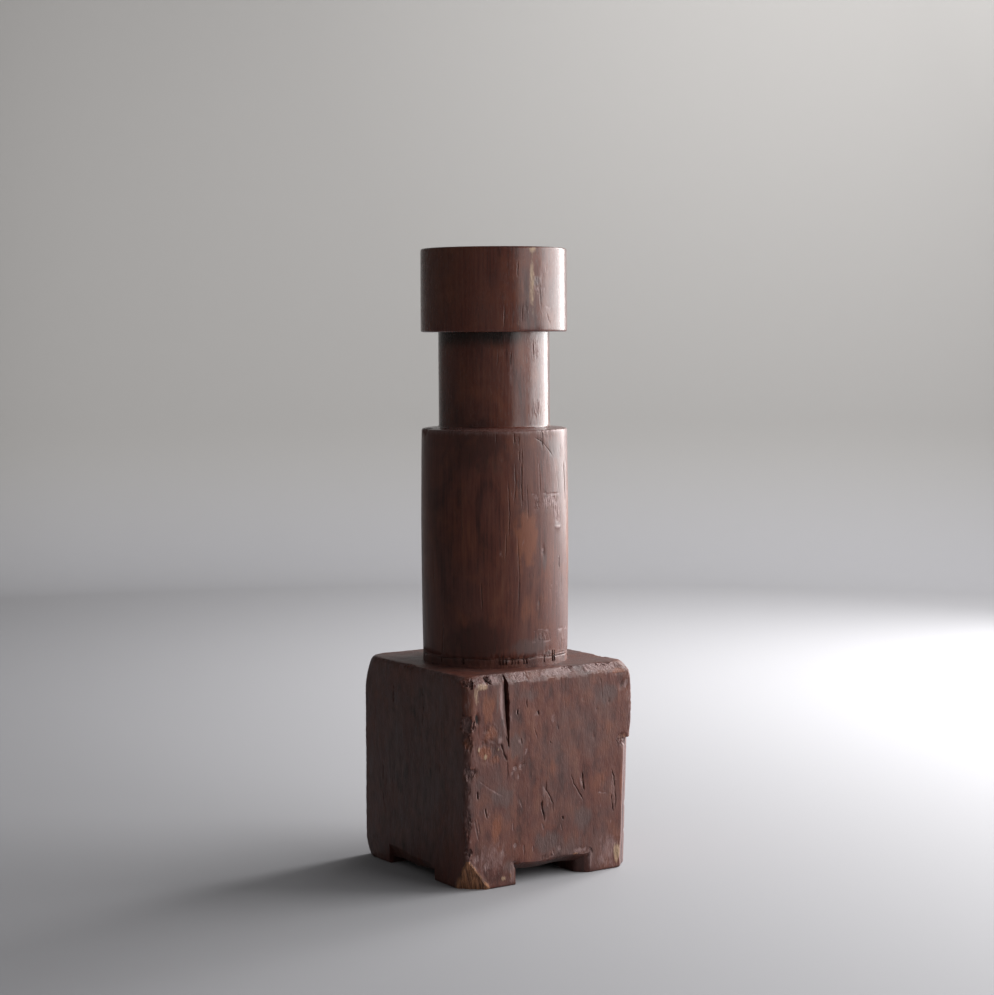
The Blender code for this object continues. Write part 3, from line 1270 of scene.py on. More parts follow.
@dataclass(frozen=True)
class Hollow:
    """A dent, gouge, chip or torn place: an oval where the surface is sunk, torn or stained.

    Attributes:
        side: The side it lies on.
        place: Its middle, across and up, in millimetres; across in degrees round the column.
        size: Half its width and half its height, in millimetres.
        depth: How far it is sunk, in millimetres; below 0 it stands proud.
        lean: How far it leans to the right, in degrees.
        torn: How rough its fibres are, from 0 to 1.
        stain: The mask that it paints, or None.
        strength: How strong the stain is.
        blur: The share of the oval over which the stain fades.
    """

    side: Side
    place: tuple[float, float]
    size: tuple[float, float]
    depth: float = 0.0
    lean: float = 0.0
    torn: float = 0.0
    stain: Mask | None = None
    strength: float = 1.0
    blur: float = 0.6

    def _oval(self, chart: Chart) -> np.ndarray:
        """How far out each point is: 0 in the middle and 1 on the oval's edge.

        Args:
            chart: The side it lies on.

        Returns:
            One value for each point of the side.
        """
        scale = MM_PER_DEGREE if self.side is Side.ROUND else 1.0
        x, y = chart.across - self.place[0] * scale, chart.up - self.place[1]
        turn = math.radians(self.lean)
        across = x * math.cos(turn) - y * math.sin(turn)
        up = x * math.sin(turn) + y * math.cos(turn)
        return np.hypot(across / self.size[0], up / self.size[1])

    def detail(self, chart: Chart) -> np.ndarray:
        """How finely the hollow asks the mesh to be divided at each point: 0, 1 or 2 times.

        Args:
            chart: The side it lies on.

        Returns:
            The number for each point of the side.
        """
        worth = int(self.torn > 0.3 or self.depth > 0.4) + int(self.torn >= 0.8)
        return (self._oval(chart) < 1.15).astype(int) * worth

    def press(self, skin: Skin) -> None:
        """Sinks the hollow into the skin and paints its masks.

        Args:
            skin: The skin that it changes.
        """
        chart = skin.charts[self.side]
        out = self._oval(chart)
        close = out < 1.25
        members, out = chart.members[close], out[close]
        if not len(members):
            return
        seed = int(abs(self.place[0]) + abs(self.place[1])) % 41
        ragged = grain_noise(skin.places[members], Vector((0.005, 0.005, 0.012)), seed)
        out = out + 0.28 * ragged
        bowl = np.clip(1 - out**2, 0.0, 1.0)
        skin.places[members] += chart.inward[close] * (bowl * self.depth * MM)[:, None]
        soft = 1 - smooth_step(out, 1 - self.blur, 1.0)
        skin.paint(Mask.TORN, members, self.torn * soft)
        if self.stain:
            skin.paint(self.stain, members, self.strength * soft)


@dataclass(frozen=True)
class Chip:
    """A piece knocked out of an edge.

    Attributes:
        place: Its middle, in millimetres.
        size: Half its size along X, Y and Z, in millimetres.
        push: The direction in which the wood is lost, and how far, in millimetres.
        stain: The mask that it paints.
        strength: How strong the stain is.
    """

    place: tuple[float, float, float]
    size: tuple[float, float, float]
    push: tuple[float, float, float]
    stain: Mask = Mask.BARE
    strength: float = 0.7

    def out(self, places: np.ndarray) -> np.ndarray:
        """How far out each place is: 0 in the middle and 1 on the chip's edge."""
        offset = (places / MM - np.array(self.place)) / np.array(self.size)
        return np.sqrt((offset**2).sum(1))

    def press(self, skin: Skin) -> None:
        """Takes the chip out of the skin and paints its masks.

        Args:
            skin: The skin that it changes.
        """
        out = self.out(skin.places)
        members = np.nonzero(out < 1.2)[0]
        if not len(members):
            return
        seed = int(abs(self.place[2])) % 37
        spots = skin.places[members]
        ragged = grain_noise(spots, Vector((0.0035, 0.0035, 0.006)), seed)
        ragged += 0.6 * grain_noise(spots, Vector((0.0016, 0.0016, 0.003)), seed + 1)
        edge = out[members] + 0.55 * ragged
        amount = np.clip(1.2 * (1 - edge**2), 0.0, 1.0)
        skin.places[members] += amount[:, None] * np.array(self.push)[None, :] * MM
        skin.paint(self.stain, members, self.strength * amount)
        skin.paint(Mask.TORN, members, 0.7 * amount)


def laid_on(side: Side, kind: type, rows: tuple) -> list:
    """Makes the marks of one side.

    Args:
        side: The side they lie on.
        kind: What they are, Crack or Hollow.
        rows: The values of each one, in the order of its fields after the side.

    Returns:
        The marks, in the order of their rows.
    """
    return [kind(side, *row) for row in rows]


BARE, RUBBED, GRIMY = Mask.BARE, Mask.RUBBED, Mask.GRIMY
REDDER, GREYER, RAW = Mask.REDDER, Mask.GREYER, Mask.RAW

# Cracks, slits and scratches, placed as they lie on the plinth
FRONT_CRACKS = (
    # the front face: the shake's tails, then the checks and scratches from left to right
    (((-62.5, 178), (-58.8, 168), (-58, 161)), 1.8, 1.4, 0.25, 0.8),
    (((-70, 169.5), (-66.9, 160.3), (-61.4, 146.9)), 2.6, 2, 0.3, 0.85),
    (((-61.4, 146.9), (-60, 136), (-61, 126)), 1.2, 0.6, 0.2, 0.45),
    (((-102.8, 130.7), (-89.2, 119.8), (-78.2, 112.6), (-63.1, 104.9)), 1.5, 0.4, 0.8, 0),
    (((-102.2, 116.5), (-101.6, 106.3)), 2, 1.8, 0.7),
    (((-92.1, 95.7), (-89.4, 82.5)), 1.5, 1.2, 0.7, 0.7),
    (((-6.8, 119.4), (-6.8, 107.5), (-1.2, 98.6), (3.1, 89.7), (3, 79)), 1.5, 1.1, 0.3, 0.6),
    (((-12.6, 96.4), (-12.6, 85.7), (-9.8, 77.1), (-9.8, 70)), 2, 1.8, 0.5),
    (((29, 124.7), (30.5, 117.4), (33.3, 108.7), (39.1, 100.8), (47.8, 86.6)), 1.5, 1.2, 0.4, 0.65),
    (((45, 122.7), (46.4, 111.9), (47.8, 99.8)), 2.1, 1.8, 0.6),
    (((87.5, 121.6), (91.9, 111.4), (93.4, 96.7)), 1.6, 1.3, 0.5, 0.85),
    (((88, 91), (88.9, 82.7), (90.4, 68)), 1.4, 1.2, 0.5, 0.75),
    (((93.4, 96.7), (94.4, 84), (93, 70)), 1.2, 0.8, 0.5, 0.5),
    (((-46.5, 206), (-46.3, 199.5)), 1.7, 1.5, 0.7),
    (((-17.8, 201.8), (-16.4, 196.2)), 1.9, 1.6, 0.7),
    (((-41.8, 171.4), (-40.4, 164.6)), 1.8, 1.4, 0.8, 0.8),
    (((-24, 184), (-20.5, 175), (-18.5, 168)), 1.2, 0.8, 0.4, 0.45),
    (((-34, 218), (-33, 206)), 1.2, 0.8, 0.4, 0.5),
    (((-0.9, 164.2), (0.6, 160.7)), 1.9, 1.4, 0.4, 0.9),
    (((10.5, 180.7), (11.2, 176)), 1.7, 1.3, 0.4, 0.8),
    (((17.2, 73), (17.4, 68)), 2, 1.6, 0.5),
    (((-45, 102), (-39.4, 88)), 1.3, 0.8, 0.9, 0.3),
    (((-53.5, 74.2), (-53.5, 64)), 1.3, 0.8, 1, 0.2),
    (((-39.2, 47.5), (-38.3, 32.5)), 1.3, 0.8, 1, 0.2),
    (((-25.6, 43.4), (-25.6, 35.5)), 1.3, 0.8, 0.9, 0.2),
    (((-13, 70.1), (-9.9, 59.5)), 1.3, 0.8, 0.9, 0.2),
    (((14.4, 64.3), (15.8, 56.1)), 1.3, 0.9, 0.9, 0.3),
    (((1, 37), (6, 25.5)), 1.3, 0.8, 0.9, 0.2),
    (((-107, 84), (-103.5, 70), (-100.5, 58)), 1.6, 1, 1, 0.2),
    (((-103, 86), (-99.5, 66)), 1.2, 0.8, 0.9, 0.3),
    (((67, 95), (81, 93)), 1.3, 0.4, 0.8, 0.1),
    (((-88, 247), (-82, 237.5)), 2.2, 2, 0.5, 0.8),
    (((72, 236), (75, 205)), 1.1, 0.6, 0.4, 0.4),
    (((22, 238), (20, 214), (22, 196)), 1.1, 0.6, 0.3, 0.35),
    (((60, 60), (62, 34)), 1.1, 0.6, 0.3, 0.4),
)
LEFT_CRACKS = (
    (((46, 224), (45, 205), (47, 188)), 1.8, 1, 0.2, 0.5),
    (((-20, 236), (-22, 200), (-19, 176)), 1.2, 0.8, 0.2, 0.5),
    (((-60, 150), (-57, 110)), 1.1, 0.7, 0.2, 0.4),
    (((70, 130), (72, 90), (69, 60)), 1.1, 0.8, 0.2, 0.5),
    (((-92, 215), (-90, 170)), 1.1, 0.7, 0.3, 0.4),
)
RIGHT_CRACKS = (
    (((-30, 247), (-28, 200), (-31, 150)), 3, 3.4, 0.3),
    (((40, 190), (43, 120)), 1.8, 1.6, 0.2),
    (((78, 120), (75, 50)), 1.8, 1.6, 0.2),
    (((-70, 110), (-72, 60)), 1.6, 1.2, 0.3),
)
BACK_CRACKS = (
    (((20, 247), (17, 190), (21, 120)), 3.2, 3.6, 0.3),
    (((-50, 160), (-53, 80)), 1.8, 1.6, 0.2),
    (((75, 140), (73, 85)), 1.6, 1.4, 0.2),
)
ROUND_CRACKS = (
    # the saw line round the drum's foot, with painted shade along it, deep on the side towards the
    # shake
    (((-122, 258), (-101.7, 258.3), (-90, 259.4)), 2.2, 1.2, 0.2, 0.8),
    (((-90, 259.4), (-70, 257.5), (-44, 256)), 1.6, 0.8, 0.6, 0.5),
    (((-178, 257), (-150, 258.6), (-122, 258)), 1.6, 0.7, 0.2, 0.6),
    (((-44, 256), (-10, 259), (40, 257)), 1.8, 0.9, 0.3, 0.7),
    (((48, 257.5), (90, 259), (120, 256.5)), 1.8, 0.9, 0.3, 0.7),
    (((126, 258.5), (160, 257), (176, 258.5)), 1.6, 0.8, 0.3, 0.6),
    # the drum: the curve that ends a worn place, then checks along the grain and scratches
    (((-92, 519), (-82.6, 511), (-77.2, 503.7), (-71.1, 493.8)), 1.5, 0.4, 0.3, 0.5),
    (((-71.1, 493.8), (-68.5, 484.2), (-66.5, 472), (-64, 452)), 1.2, 0.2, 0.4, 0.2),
    (((-108.2, 524), (-108, 511)), 1.5, 0.7, 0.4, 0.6),
    (((-104.6, 521), (-104.5, 509)), 1.2, 0.6, 0.3, 0.6),
    (((-101.8, 507), (-102.4, 470), (-102.1, 433.7)), 1.2, 0.5, 0.3, 0.6),
    (((-104.3, 502), (-104.3, 491)), 1.3, 0.6, 0.3, 0.6),
    (((-107.6, 490), (-107.2, 466), (-108.5, 441)), 1.8, 0.4, 0.2, 0.4),
    (((-86.9, 489), (-86.5, 470.3), (-86.5, 450.3)), 1.8, 0.4, 0.3, 0.4),
    (((-54.2, 490), (-53, 465), (-52, 440)), 1.5, 1, 0.3, 0.8),
    (((-64, 376), (-64, 362)), 1.6, 1, 0.6, 0.9),
    (((-94.6, 451.2), (-88.5, 450.6)), 1.5, 0.4, 1, 0),
    (((-85.3, 451.4), (-74, 450.6), (-60, 449.3)), 1.7, 0.5, 1, 0),
    (((-68.2, 289.4), (-56, 287.4), (-43.5, 285.4)), 1.8, 0.6, 1, 0),
    (((-94.7, 290), (-85.5, 291.4), (-74.5, 288.5)), 1.5, 0.4, 0.9, 0.1),
    (((-94, 276.5), (-90, 276.6)), 1.5, 0.4, 0.9, 0),
    (((-83.6, 276.6), (-78.2, 277.3), (-73.6, 275.9)), 1.5, 0.4, 0.9, 0),
    (((-106, 617), (-106.5, 602)), 1.3, 0.8, 0.4, 0.8),
    (((-104.5, 722), (-104.8, 704)), 1, 0.4, 0.4, 0.5),
    (((-101, 670), (-101.3, 654)), 1, 0.4, 0.4, 0.4),
    (((-80.1, 669.9), (-72, 668.8)), 1.4, 0.4, 1, 0),
    (((-78.5, 664), (-76.5, 656), (-73.5, 650)), 1.3, 0.5, 0.9, 0.3),
    (((-113, 470), (-112, 430), (-113, 400)), 1.1, 0.5, 0.3, 0.5),
    (((-98, 462), (-97, 420)), 1, 0.4, 0.3, 0.4),
    (((-106, 408), (-104.5, 350), (-105.5, 318)), 1, 0.4, 0.3, 0.4),
    (((-134, 350), (-133.5, 318)), 1.1, 0.6, 0.2, 0.5),
    (((-150, 470), (-149, 395)), 1, 0.5, 0.2, 0.4),
    (((-168, 300), (-169, 262)), 1.3, 1, 0.2, 0.7),
    (((60, 525), (62, 430), (59, 340)), 2.2, 2.4, 0.2),
    (((120, 420), (122, 320)), 1.6, 1.4, 0.2),
    (((10, 500), (12, 420)), 1.5, 1.2, 0.2),
    (((85, 738), (86, 690)), 1.8, 1.8, 0.2),
    (((150, 700), (151, 650)), 1.5, 1.2, 0.2),
)
CRACKS: tuple[Crack, ...] = (
    *laid_on(Side.FRONT, Crack, FRONT_CRACKS),
    *laid_on(Side.LEFT, Crack, LEFT_CRACKS),
    *laid_on(Side.RIGHT, Crack, RIGHT_CRACKS),
    *laid_on(Side.BACK, Crack, BACK_CRACKS),
    *laid_on(Side.ROUND, Crack, ROUND_CRACKS),
)

# Dents, gouges, torn and stained places
FRONT_HOLLOWS = (
    # the chamfer: broken fibres, a smooth length, then lumps
    ((-42, 243), (14, 7), 0.5, 0, 0.8, RUBBED, 0.9),
    ((14, 244), (30, 6.5), -0.2, 0, 0, RUBBED, 0.75),
    ((72, 244.5), (34, 6.5), 0.2, 0, 0.7, RUBBED, 0.8),
    ((-78, 243), (9, 6), 0.3, 0, 0.5, RUBBED, 0.7),
    ((100, 238), (14, 5), 0.8, 0, 0.4, REDDER, 0.8),
    ((104, 222), (4, 8), 1.6, 20, 0.3, GRIMY, 0.6),
    ((110, 222), (4, 9), 0.6, 20, 0.4, RUBBED, 0.7),
    # the slab left of the shake: smooth above, torn below, pale where it is freshly broken
    ((-94, 236), (15, 7), 0, 0, 0.2, RAW, 0.78, 0.9),
    ((-103, 226), (5, 18), 0.1, 0, 0.2, RAW, 0.66, 0.9),
    ((-87, 212), (15, 26), -0.3, 0, 0, REDDER, 0.72, 0.6),
    ((-84, 180), (17, 18), 0.5, 0, 0.7, REDDER, 0.7, 0.8),
    ((-90, 160), (18, 14), 0.7, 20, 0.85, REDDER, 0.75, 0.8),
    ((-78, 150), (13, 11), 0.4, -20, 0.6, REDDER, 0.6, 0.8),
    ((-90, 186), (5, 4), 0.6, 0, 0.5, GRIMY, 0.5, 0.8),
    ((-82, 173), (5.5, 3.4), 0.6, 30, 0.5, GRIMY, 0.55, 0.8),
    ((-94, 172), (4, 4.6), 0.6, -30, 0.5, GRIMY, 0.5, 0.8),
    ((-72, 172), (4, 6), -0.7, 0, 0.3, RUBBED, 0.7, 0.8),
    ((-99.8, 164), (2.6, 4.4), -0.4, 0, 0.3, RAW, 0.75, 0.9),
    ((-90.4, 154.8), (4.2, 6.4), -0.4, 30, 0.4, RAW, 0.85, 0.9),
    ((-73.4, 161.6), (2.2, 4), -0.4, 0, 0.3, RAW, 0.65, 0.9),
    # a notch painted dark as its shade; then the shake's left slope and both lips, painted pale and
    # grey as the light that falls on them
    ((-102, 200), (3.4, 8), 1.8, 0, 0.4, GRIMY, 0.9),
    ((-74.5, 214), (3.4, 26), -0.5, 1, 0, GREYER, 0.9, 0.8),
    ((-66, 214), (6, 34), 0, 1, 0, GREYER, 1, 0.6),
    ((-68.5, 218), (4.2, 34), 0, 1, 0, RUBBED, 0.62, 0.6),
    ((-55.5, 196), (1.8, 9), -0.5, 1, 0, RUBBED, 0.8),
    # the middle of the face: knocks with crushed edges and small raised flecks, painted pale as
    # highlights where the light glints on them
    ((-50, 137), (4, 3), 0.9, 30, 0.5, RUBBED, 0.8),
    ((-42, 139), (3.4, 2.6), 1.1, -30, 0.5, RUBBED, 0.9),
    ((-37.5, 141.5), (3.6, 1.8), 1, 40, 0.2, GRIMY, 0.7),
    ((-53.5, 132), (2.2, 3.6), 0.7, 0, 0.3, RUBBED, 0.9),
    ((-45.6, 126.5), (1.6, 4), 0.6, 0, 0.2, RUBBED, 1),
    ((-34, 156), (2, 7), 0.5, 25, 0.3, RUBBED, 0.6),
    ((-20.6, 198), (2.8, 1.8), -0.4, 0, 0, RUBBED, 0.95),
    ((-44.4, 168), (1.6, 3), -0.4, 0, 0, RUBBED, 0.9),
    ((4, 190), (5, 8), 0.4, 10, 0.6, RUBBED, 0.4),
    ((-68, 41.5), (2.4, 3.2), 0.6, 0, 0.1, RUBBED, 0.8),
    ((-50.5, 47), (3, 3.4), 0.9, 0, 0.2, RUBBED, 0.75),
    ((12.6, 35.6), (2.4, 3.6), 1.1, -10, 0.2, RUBBED, 1),
    ((42.5, 112), (2.2, 9), -0.5, -14, 0.3, RUBBED, 0.75),
    ((-11, 106), (3, 9), -0.3, -10, 0.3, RUBBED, 0.5),
    ((-5, 92), (3, 12), -0.3, -14, 0.3, RUBBED, 0.4),
    ((90.5, 97), (6, 26), 0.5, 2, 0.7, RUBBED, 0.4, 0.8),
    # small holes, painted dark as their shade
    ((67, 195), (1.7, 1.7), 1.2, 0, 0, GRIMY, 0.9),
    ((84.5, 203), (1.6, 1.6), 1.2, 0, 0, GRIMY, 0.9),
    ((46.5, 208), (1.5, 1.5), 1, 0, 0, GRIMY, 0.7),
    ((44, 177), (4, 2.4), 0.4, 0, 0, GRIMY, 0.5),
    # its colours: grey and warm clouds
    ((-46, 165), (20, 36), 0, 12, 0, GREYER, 0.9, 1),
    ((-66, 104), (24, 20), 0, 0, 0.1, GREYER, 1, 0.9),
    ((-6, 44), (30, 22), 0.2, 0, 0.3, GREYER, 1, 0.9),
    ((46, 68), (24, 26), 0, 0, 0.1, GREYER, 0.85, 0.9),
    ((86, 212), (26, 22), 0, 0, 0, GREYER, 0.9, 1),
    ((-30, 222), (26, 18), 0, 0, 0, GREYER, 0.8, 1),
    ((-60, 24), (18, 16), 0, 0, 0.1, GREYER, 0.8, 0.9),
    ((20, 30), (120, 46), 0, 0, 0, GREYER, 0.6, 1),
    ((-80, 34), (40, 44), 0, 0, 0.1, RUBBED, 0.42, 1),
    ((84, 24), (38, 40), 0, 0, 0.1, RUBBED, 0.5, 1),
    ((24, 208), (18, 24), 0, 0, 0, REDDER, 0.55, 1),
    ((80, 172), (30, 20), 0, 0, 0, REDDER, 0.5, 1),
    ((0, 132), (28, 36), 0, 0, 0, REDDER, 0.6, 1),
    ((72, 112), (26, 30), 0, 0, 0, REDDER, 0.55, 1),
    ((-77, 70), (14, 26), 0.2, 0, 0.2, REDDER, 0.8, 0.8),
    ((-86, 86), (3, 8), 0.2, 10, 0.2, RUBBED, 0.35, 0.9),
    ((104, 90), (8, 60), 0, 0, 0.1, REDDER, 0.7, 0.9),
    ((-106, 128), (7, 60), 0, 0, 0.2, RUBBED, 0.2, 1),
    # the feet
    ((-104, 37), (12, 10), 0.7, -30, 1, RUBBED, 0.55, 0.8),
    ((-91, 27), (8, 11), 0.7, 0, 1, RUBBED, 0.5, 0.8),
)
LEFT_FOOT_HOLLOWS = (
    ((-108, 14), (10, 18), 0, 0, 0.5, BARE, 0.7, 0.7),
)
FRONT_FOOT_HOLLOWS = (
    ((-66, 10), (9, 7), 0.2, 0, 0.6, RAW, 0.62, 0.9),
    ((-57, 12), (3, 6), 0.2, 0, 0.5, BARE, 0.8, 0.8),
    ((-55, 12), (5, 14), 0, 0, 0.3, RUBBED, 0.45),
    ((97, 20), (9, 20), 0.8, 0, 1, RAW, 0.74, 0.9),
    ((96, 12), (9, 14), 0.4, 0, 0.8, BARE, 0.6, 0.9),
    ((72, 14), (16, 14), 0, 0, 0.3, RUBBED, 0.5, 0.9),
    ((42, 29), (15, 5), 0.5, 0, 0.9, RUBBED, 0.6, 0.9),
    ((36, 25.5), (6, 2), 0.5, 0, 0.5, BARE, 0.9),
    ((57, 16), (2.6, 16), -0.6, 0, 0.1, RUBBED, 0.7),
)
RIGHT_HOLLOWS = (
    ((-60, 14), (20, 14), 0.4, 0, 0.5, RUBBED, 0.4),
    ((90, 15), (20, 18), 0.6, 0, 0.5, BARE, 0.5),
)
BACK_HOLLOWS = (
    ((90, 14), (20, 16), 0.6, 0, 0.5, BARE, 0.5),
    ((-90, 14), (20, 16), 0.6, 0, 0.5, RUBBED, 0.5),
)
LEFT_HOLLOWS = (
    ((92, 16), (18, 16), 0.4, 0, 0.6, RUBBED, 0.4),
    # a painted shade over the whole left side, which faces away from the light
    ((0, 124), (420, 420), 0, 0, 0, GRIMY, 0.56, 1),
    ((-30, 180), (30, 46), 0.7, 8, 0.15, GRIMY, 0.3, 0.9),
    ((40, 90), (36, 40), 0.6, -6, 0.2, REDDER, 0.4, 0.9),
    ((-70, 80), (18, 30), 0.5, 0, 0.3, RUBBED, 0.25, 0.9),
)
ROUND_HOLLOWS = (
    # the drum: a dent, and the scuffed place with its pale upper edge
    ((-83.4, 385.6), (2.6, 2.6), 1, 0, 0, RUBBED, 0.95),
    ((-83.4, 382.2), (3.4, 1.6), 0.8, 0, 0, GRIMY, 0.6),
    ((-83.4, 379), (6.4, 1.2), -0.3, 0, 0, RUBBED, 0.6),
    ((-91, 448), (8, 2.4), 0.2, 8, 0.3, RUBBED, 0.6, 0.8),
    ((-89, 438.6), (6, 3), 0.5, 0, 0.7, GRIMY, 0.3),
    ((-77, 442), (16, 10), 0.3, -12, 0.9, RUBBED, 0.85, 0.8),
    ((-67, 430), (10, 20), 0.3, -8, 0.9, RUBBED, 0.85, 0.8),
    ((-71, 444), (5, 3.4), 0.4, 0, 0.4, RUBBED, 0.9),
    ((-66, 420), (6, 5), 0.3, 0, 0.5, RUBBED, 0.8),
    ((-66, 411), (9, 1.8), -0.4, 0, 0.3, RUBBED, 0.9),
    ((-60, 500), (7, 15), 0.2, 0, 0.5, RUBBED, 0.3, 0.9),
    ((-74, 480), (9, 22), -0.2, 0, 0.1, RUBBED, 0.2, 1),
    ((-87.6, 323), (2.4, 5), 0.5, 0, 0.1, GREYER, 0.9),
    ((-75, 340), (3, 2), 0.3, 0, 0.4, RUBBED, 0.4),
    ((-84, 283.5), (13, 6), 0.35, 0, 0.8, RUBBED, 0.3, 0.8),
    ((-57, 270), (15, 14), 0.2, 0, 0.7, BARE, 0.25, 0.9),
    ((-78, 262), (16, 6), 0.5, 0, 0.9, GREYER, 0.8, 0.8),
    ((-60, 258), (15, 4), 0.6, 0, 1, RUBBED, 0.6, 0.8),
    ((-115, 256), (5, 5), -0.4, 0, 0.2, GREYER, 0.9),
    # its colours
    ((-98, 400), (26, 64), 0, 0, 0, REDDER, 1, 0.9),
    # darker high and low on the drum's left side
    ((-138, 508), (84, 66), 0, 0, 0, GRIMY, 0.56, 0.8),
    ((-138, 280), (84, 62), 0, 0, 0, GRIMY, 0.56, 0.8),
    ((-44, 400), (16, 120), 0, 0, 0, REDDER, 0.8, 0.8),
    # a painted sheen low on the drum's lit side
    ((-62, 330), (20, 60), 0, 0, 0, RUBBED, 0.34, 1),
    ((-97, 320), (18, 40), 0, 0, 0, REDDER, 0.6, 0.9),
    ((-140, 400), (40, 80), 0, 0, 0, REDDER, 0.5, 1),
    ((-70, 505), (26, 22), 0, 0, 0, GREYER, 0.9, 1),
    ((-82, 372), (8, 24), 0, 0, 0, GREYER, 0.7, 1),
    ((-95, 272), (50, 20), 0, 0, 0, GREYER, 0.95, 1),
    # a painted highlight on the lit part of the drum's shoulder rim
    ((-75, 526), (26, 3), 0, 0, 0.4, RUBBED, 0.6),
    # the neck and the cap
    # rough places on the lit side of the neck, painted pale as the highlights on their wrinkles
    ((-76, 622), (18, 18), 0.2, 0, 1, RUBBED, 0.45, 0.9),
    ((-74, 552), (18, 18), 0.2, 0, 1, RUBBED, 0.45, 0.9),
    ((-88, 700), (12, 11), 0.3, 0, 0.6, GREYER, 0.7, 0.9),
    ((-85, 690), (9, 5), 0.4, 0, 0.8, RUBBED, 0.55, 0.8),
    ((-79, 712), (9, 9), 0.3, 30, 0.6, RUBBED, 0.4, 0.9),
    ((-104, 690), (14, 40), 0, 0, 0, REDDER, 0.6, 1),
    ((-98, 665), (7, 18), 0.1, 0, 0.4, RUBBED, 0.25, 0.9),
    ((-92.5, 700), (7, 66), 0, 0, 0, RAW, 0.6, 0.9),
    ((-104, 655), (5, 20), 0, 0, 0, RAW, 0.36, 0.9),
    ((-91.5, 736.5), (9, 4), 0.3, 0, 0.2, RAW, 0.75, 0.8),
    # a painted sheen down the neck where the light begins
    ((-106, 595), (5, 60), 0, 0, 0, RUBBED, 0.34, 0.9),
    ((40, 430), (16, 26), 0.7, 10, 0.6, RUBBED, 0.28, 0.9),
    ((110, 470), (12, 14), 0.7, 0, 0.5, RUBBED, 0.26, 0.9),
    ((95, 690), (14, 10), 0.6, 0, 0.5, RUBBED, 0.28, 0.9),
)
HOLLOWS: tuple[Hollow, ...] = (
    *laid_on(Side.FRONT, Hollow, FRONT_HOLLOWS),
    *laid_on(Side.LEFT, Hollow, LEFT_FOOT_HOLLOWS),
    *laid_on(Side.FRONT, Hollow, FRONT_FOOT_HOLLOWS),
    *laid_on(Side.RIGHT, Hollow, RIGHT_HOLLOWS),
    *laid_on(Side.BACK, Hollow, BACK_HOLLOWS),
    *laid_on(Side.LEFT, Hollow, LEFT_HOLLOWS),
    *laid_on(Side.ROUND, Hollow, ROUND_HOLLOWS),
)

# Pieces knocked out of the edges
CHIPS: tuple[Chip, ...] = (
    Chip((-113, -113, 243), (9, 8, 7), (2.6, 2.6, -2), RUBBED, 0.5),
    Chip((-114, -112, 194), (9, 9, 12), (3, 2.6, 0), RUBBED, 0.75),
    Chip((-114, -114, 172), (6, 6, 9), (1.4, 1.4, 0), REDDER, 0.8),
    Chip((-113, -114, 138.5), (9, 6, 6.5), (2.2, 2.6, 0), RUBBED, 0.8),
    Chip((-116, -116, 118), (4, 4, 9), (1, 1, 0), REDDER, 0.7),
    Chip((-116, -115, 80), (5, 5, 16), (1.3, 1.3, 0), RUBBED, 0.5),
    Chip((-117, -116, 47), (7, 7, 6), (2.6, 2.4, 0), RUBBED, 0.5),
    Chip((-85, -112, 244), (5, 6, 7), (0, 2.6, -1.2), GRIMY, 0.6),
    Chip((30, -106, 248), (9, 4, 3), (0, 1.2, -0.8), RUBBED, 0.6),
    Chip((80, -106.5, 248), (10, 4, 3), (0, 1.4, -0.9), RUBBED, 0.7),
    Chip((112, -60, 248), (5, 16, 4), (-2.2, 0, -1.2), RUBBED, 0.5),
    Chip((115, 40, 248), (4, 10, 4), (-2, 0, -1.2), RUBBED, 0.4),
    Chip((-115, 10, 248), (4, 14, 4), (2, 0, -1), RUBBED, 0.4),
    Chip((20, 115, 248), (14, 4, 4), (0, -2, -1), RUBBED, 0.4),
    Chip((105, -116, 157), (9, 6, 9), (-2.4, 1.6, 0), BARE, 0.5),
    Chip((-50, -117, 24), (6, 6, 5), (-1, 1.4, 1.6), RUBBED, 0.5),
    Chip((55, -117, 25), (5, 6, 5), (1.4, 1.4, 1.2), RUBBED, 0.5),
    Chip((4, -117, 25), (16, 5, 4), (0, 1, 1.6), RUBBED, 0.3),
    Chip((52, 70, 740), (9, 9, 6), (-1.8, -2, -1.4), RUBBED, 0.4),
    Chip((18, -86, 525), (14, 6, 3), (-0.1, 0.5, -0.3), RUBBED, 0.5),
    Chip((-80, 20, 524), (8, 9, 5), (1.2, -0.2, -0.5), RUBBED, 0.4),
    Chip((60, 60, 524), (9, 9, 5), (-1.4, -1.4, -0.8), RUBBED, 0.4),
)


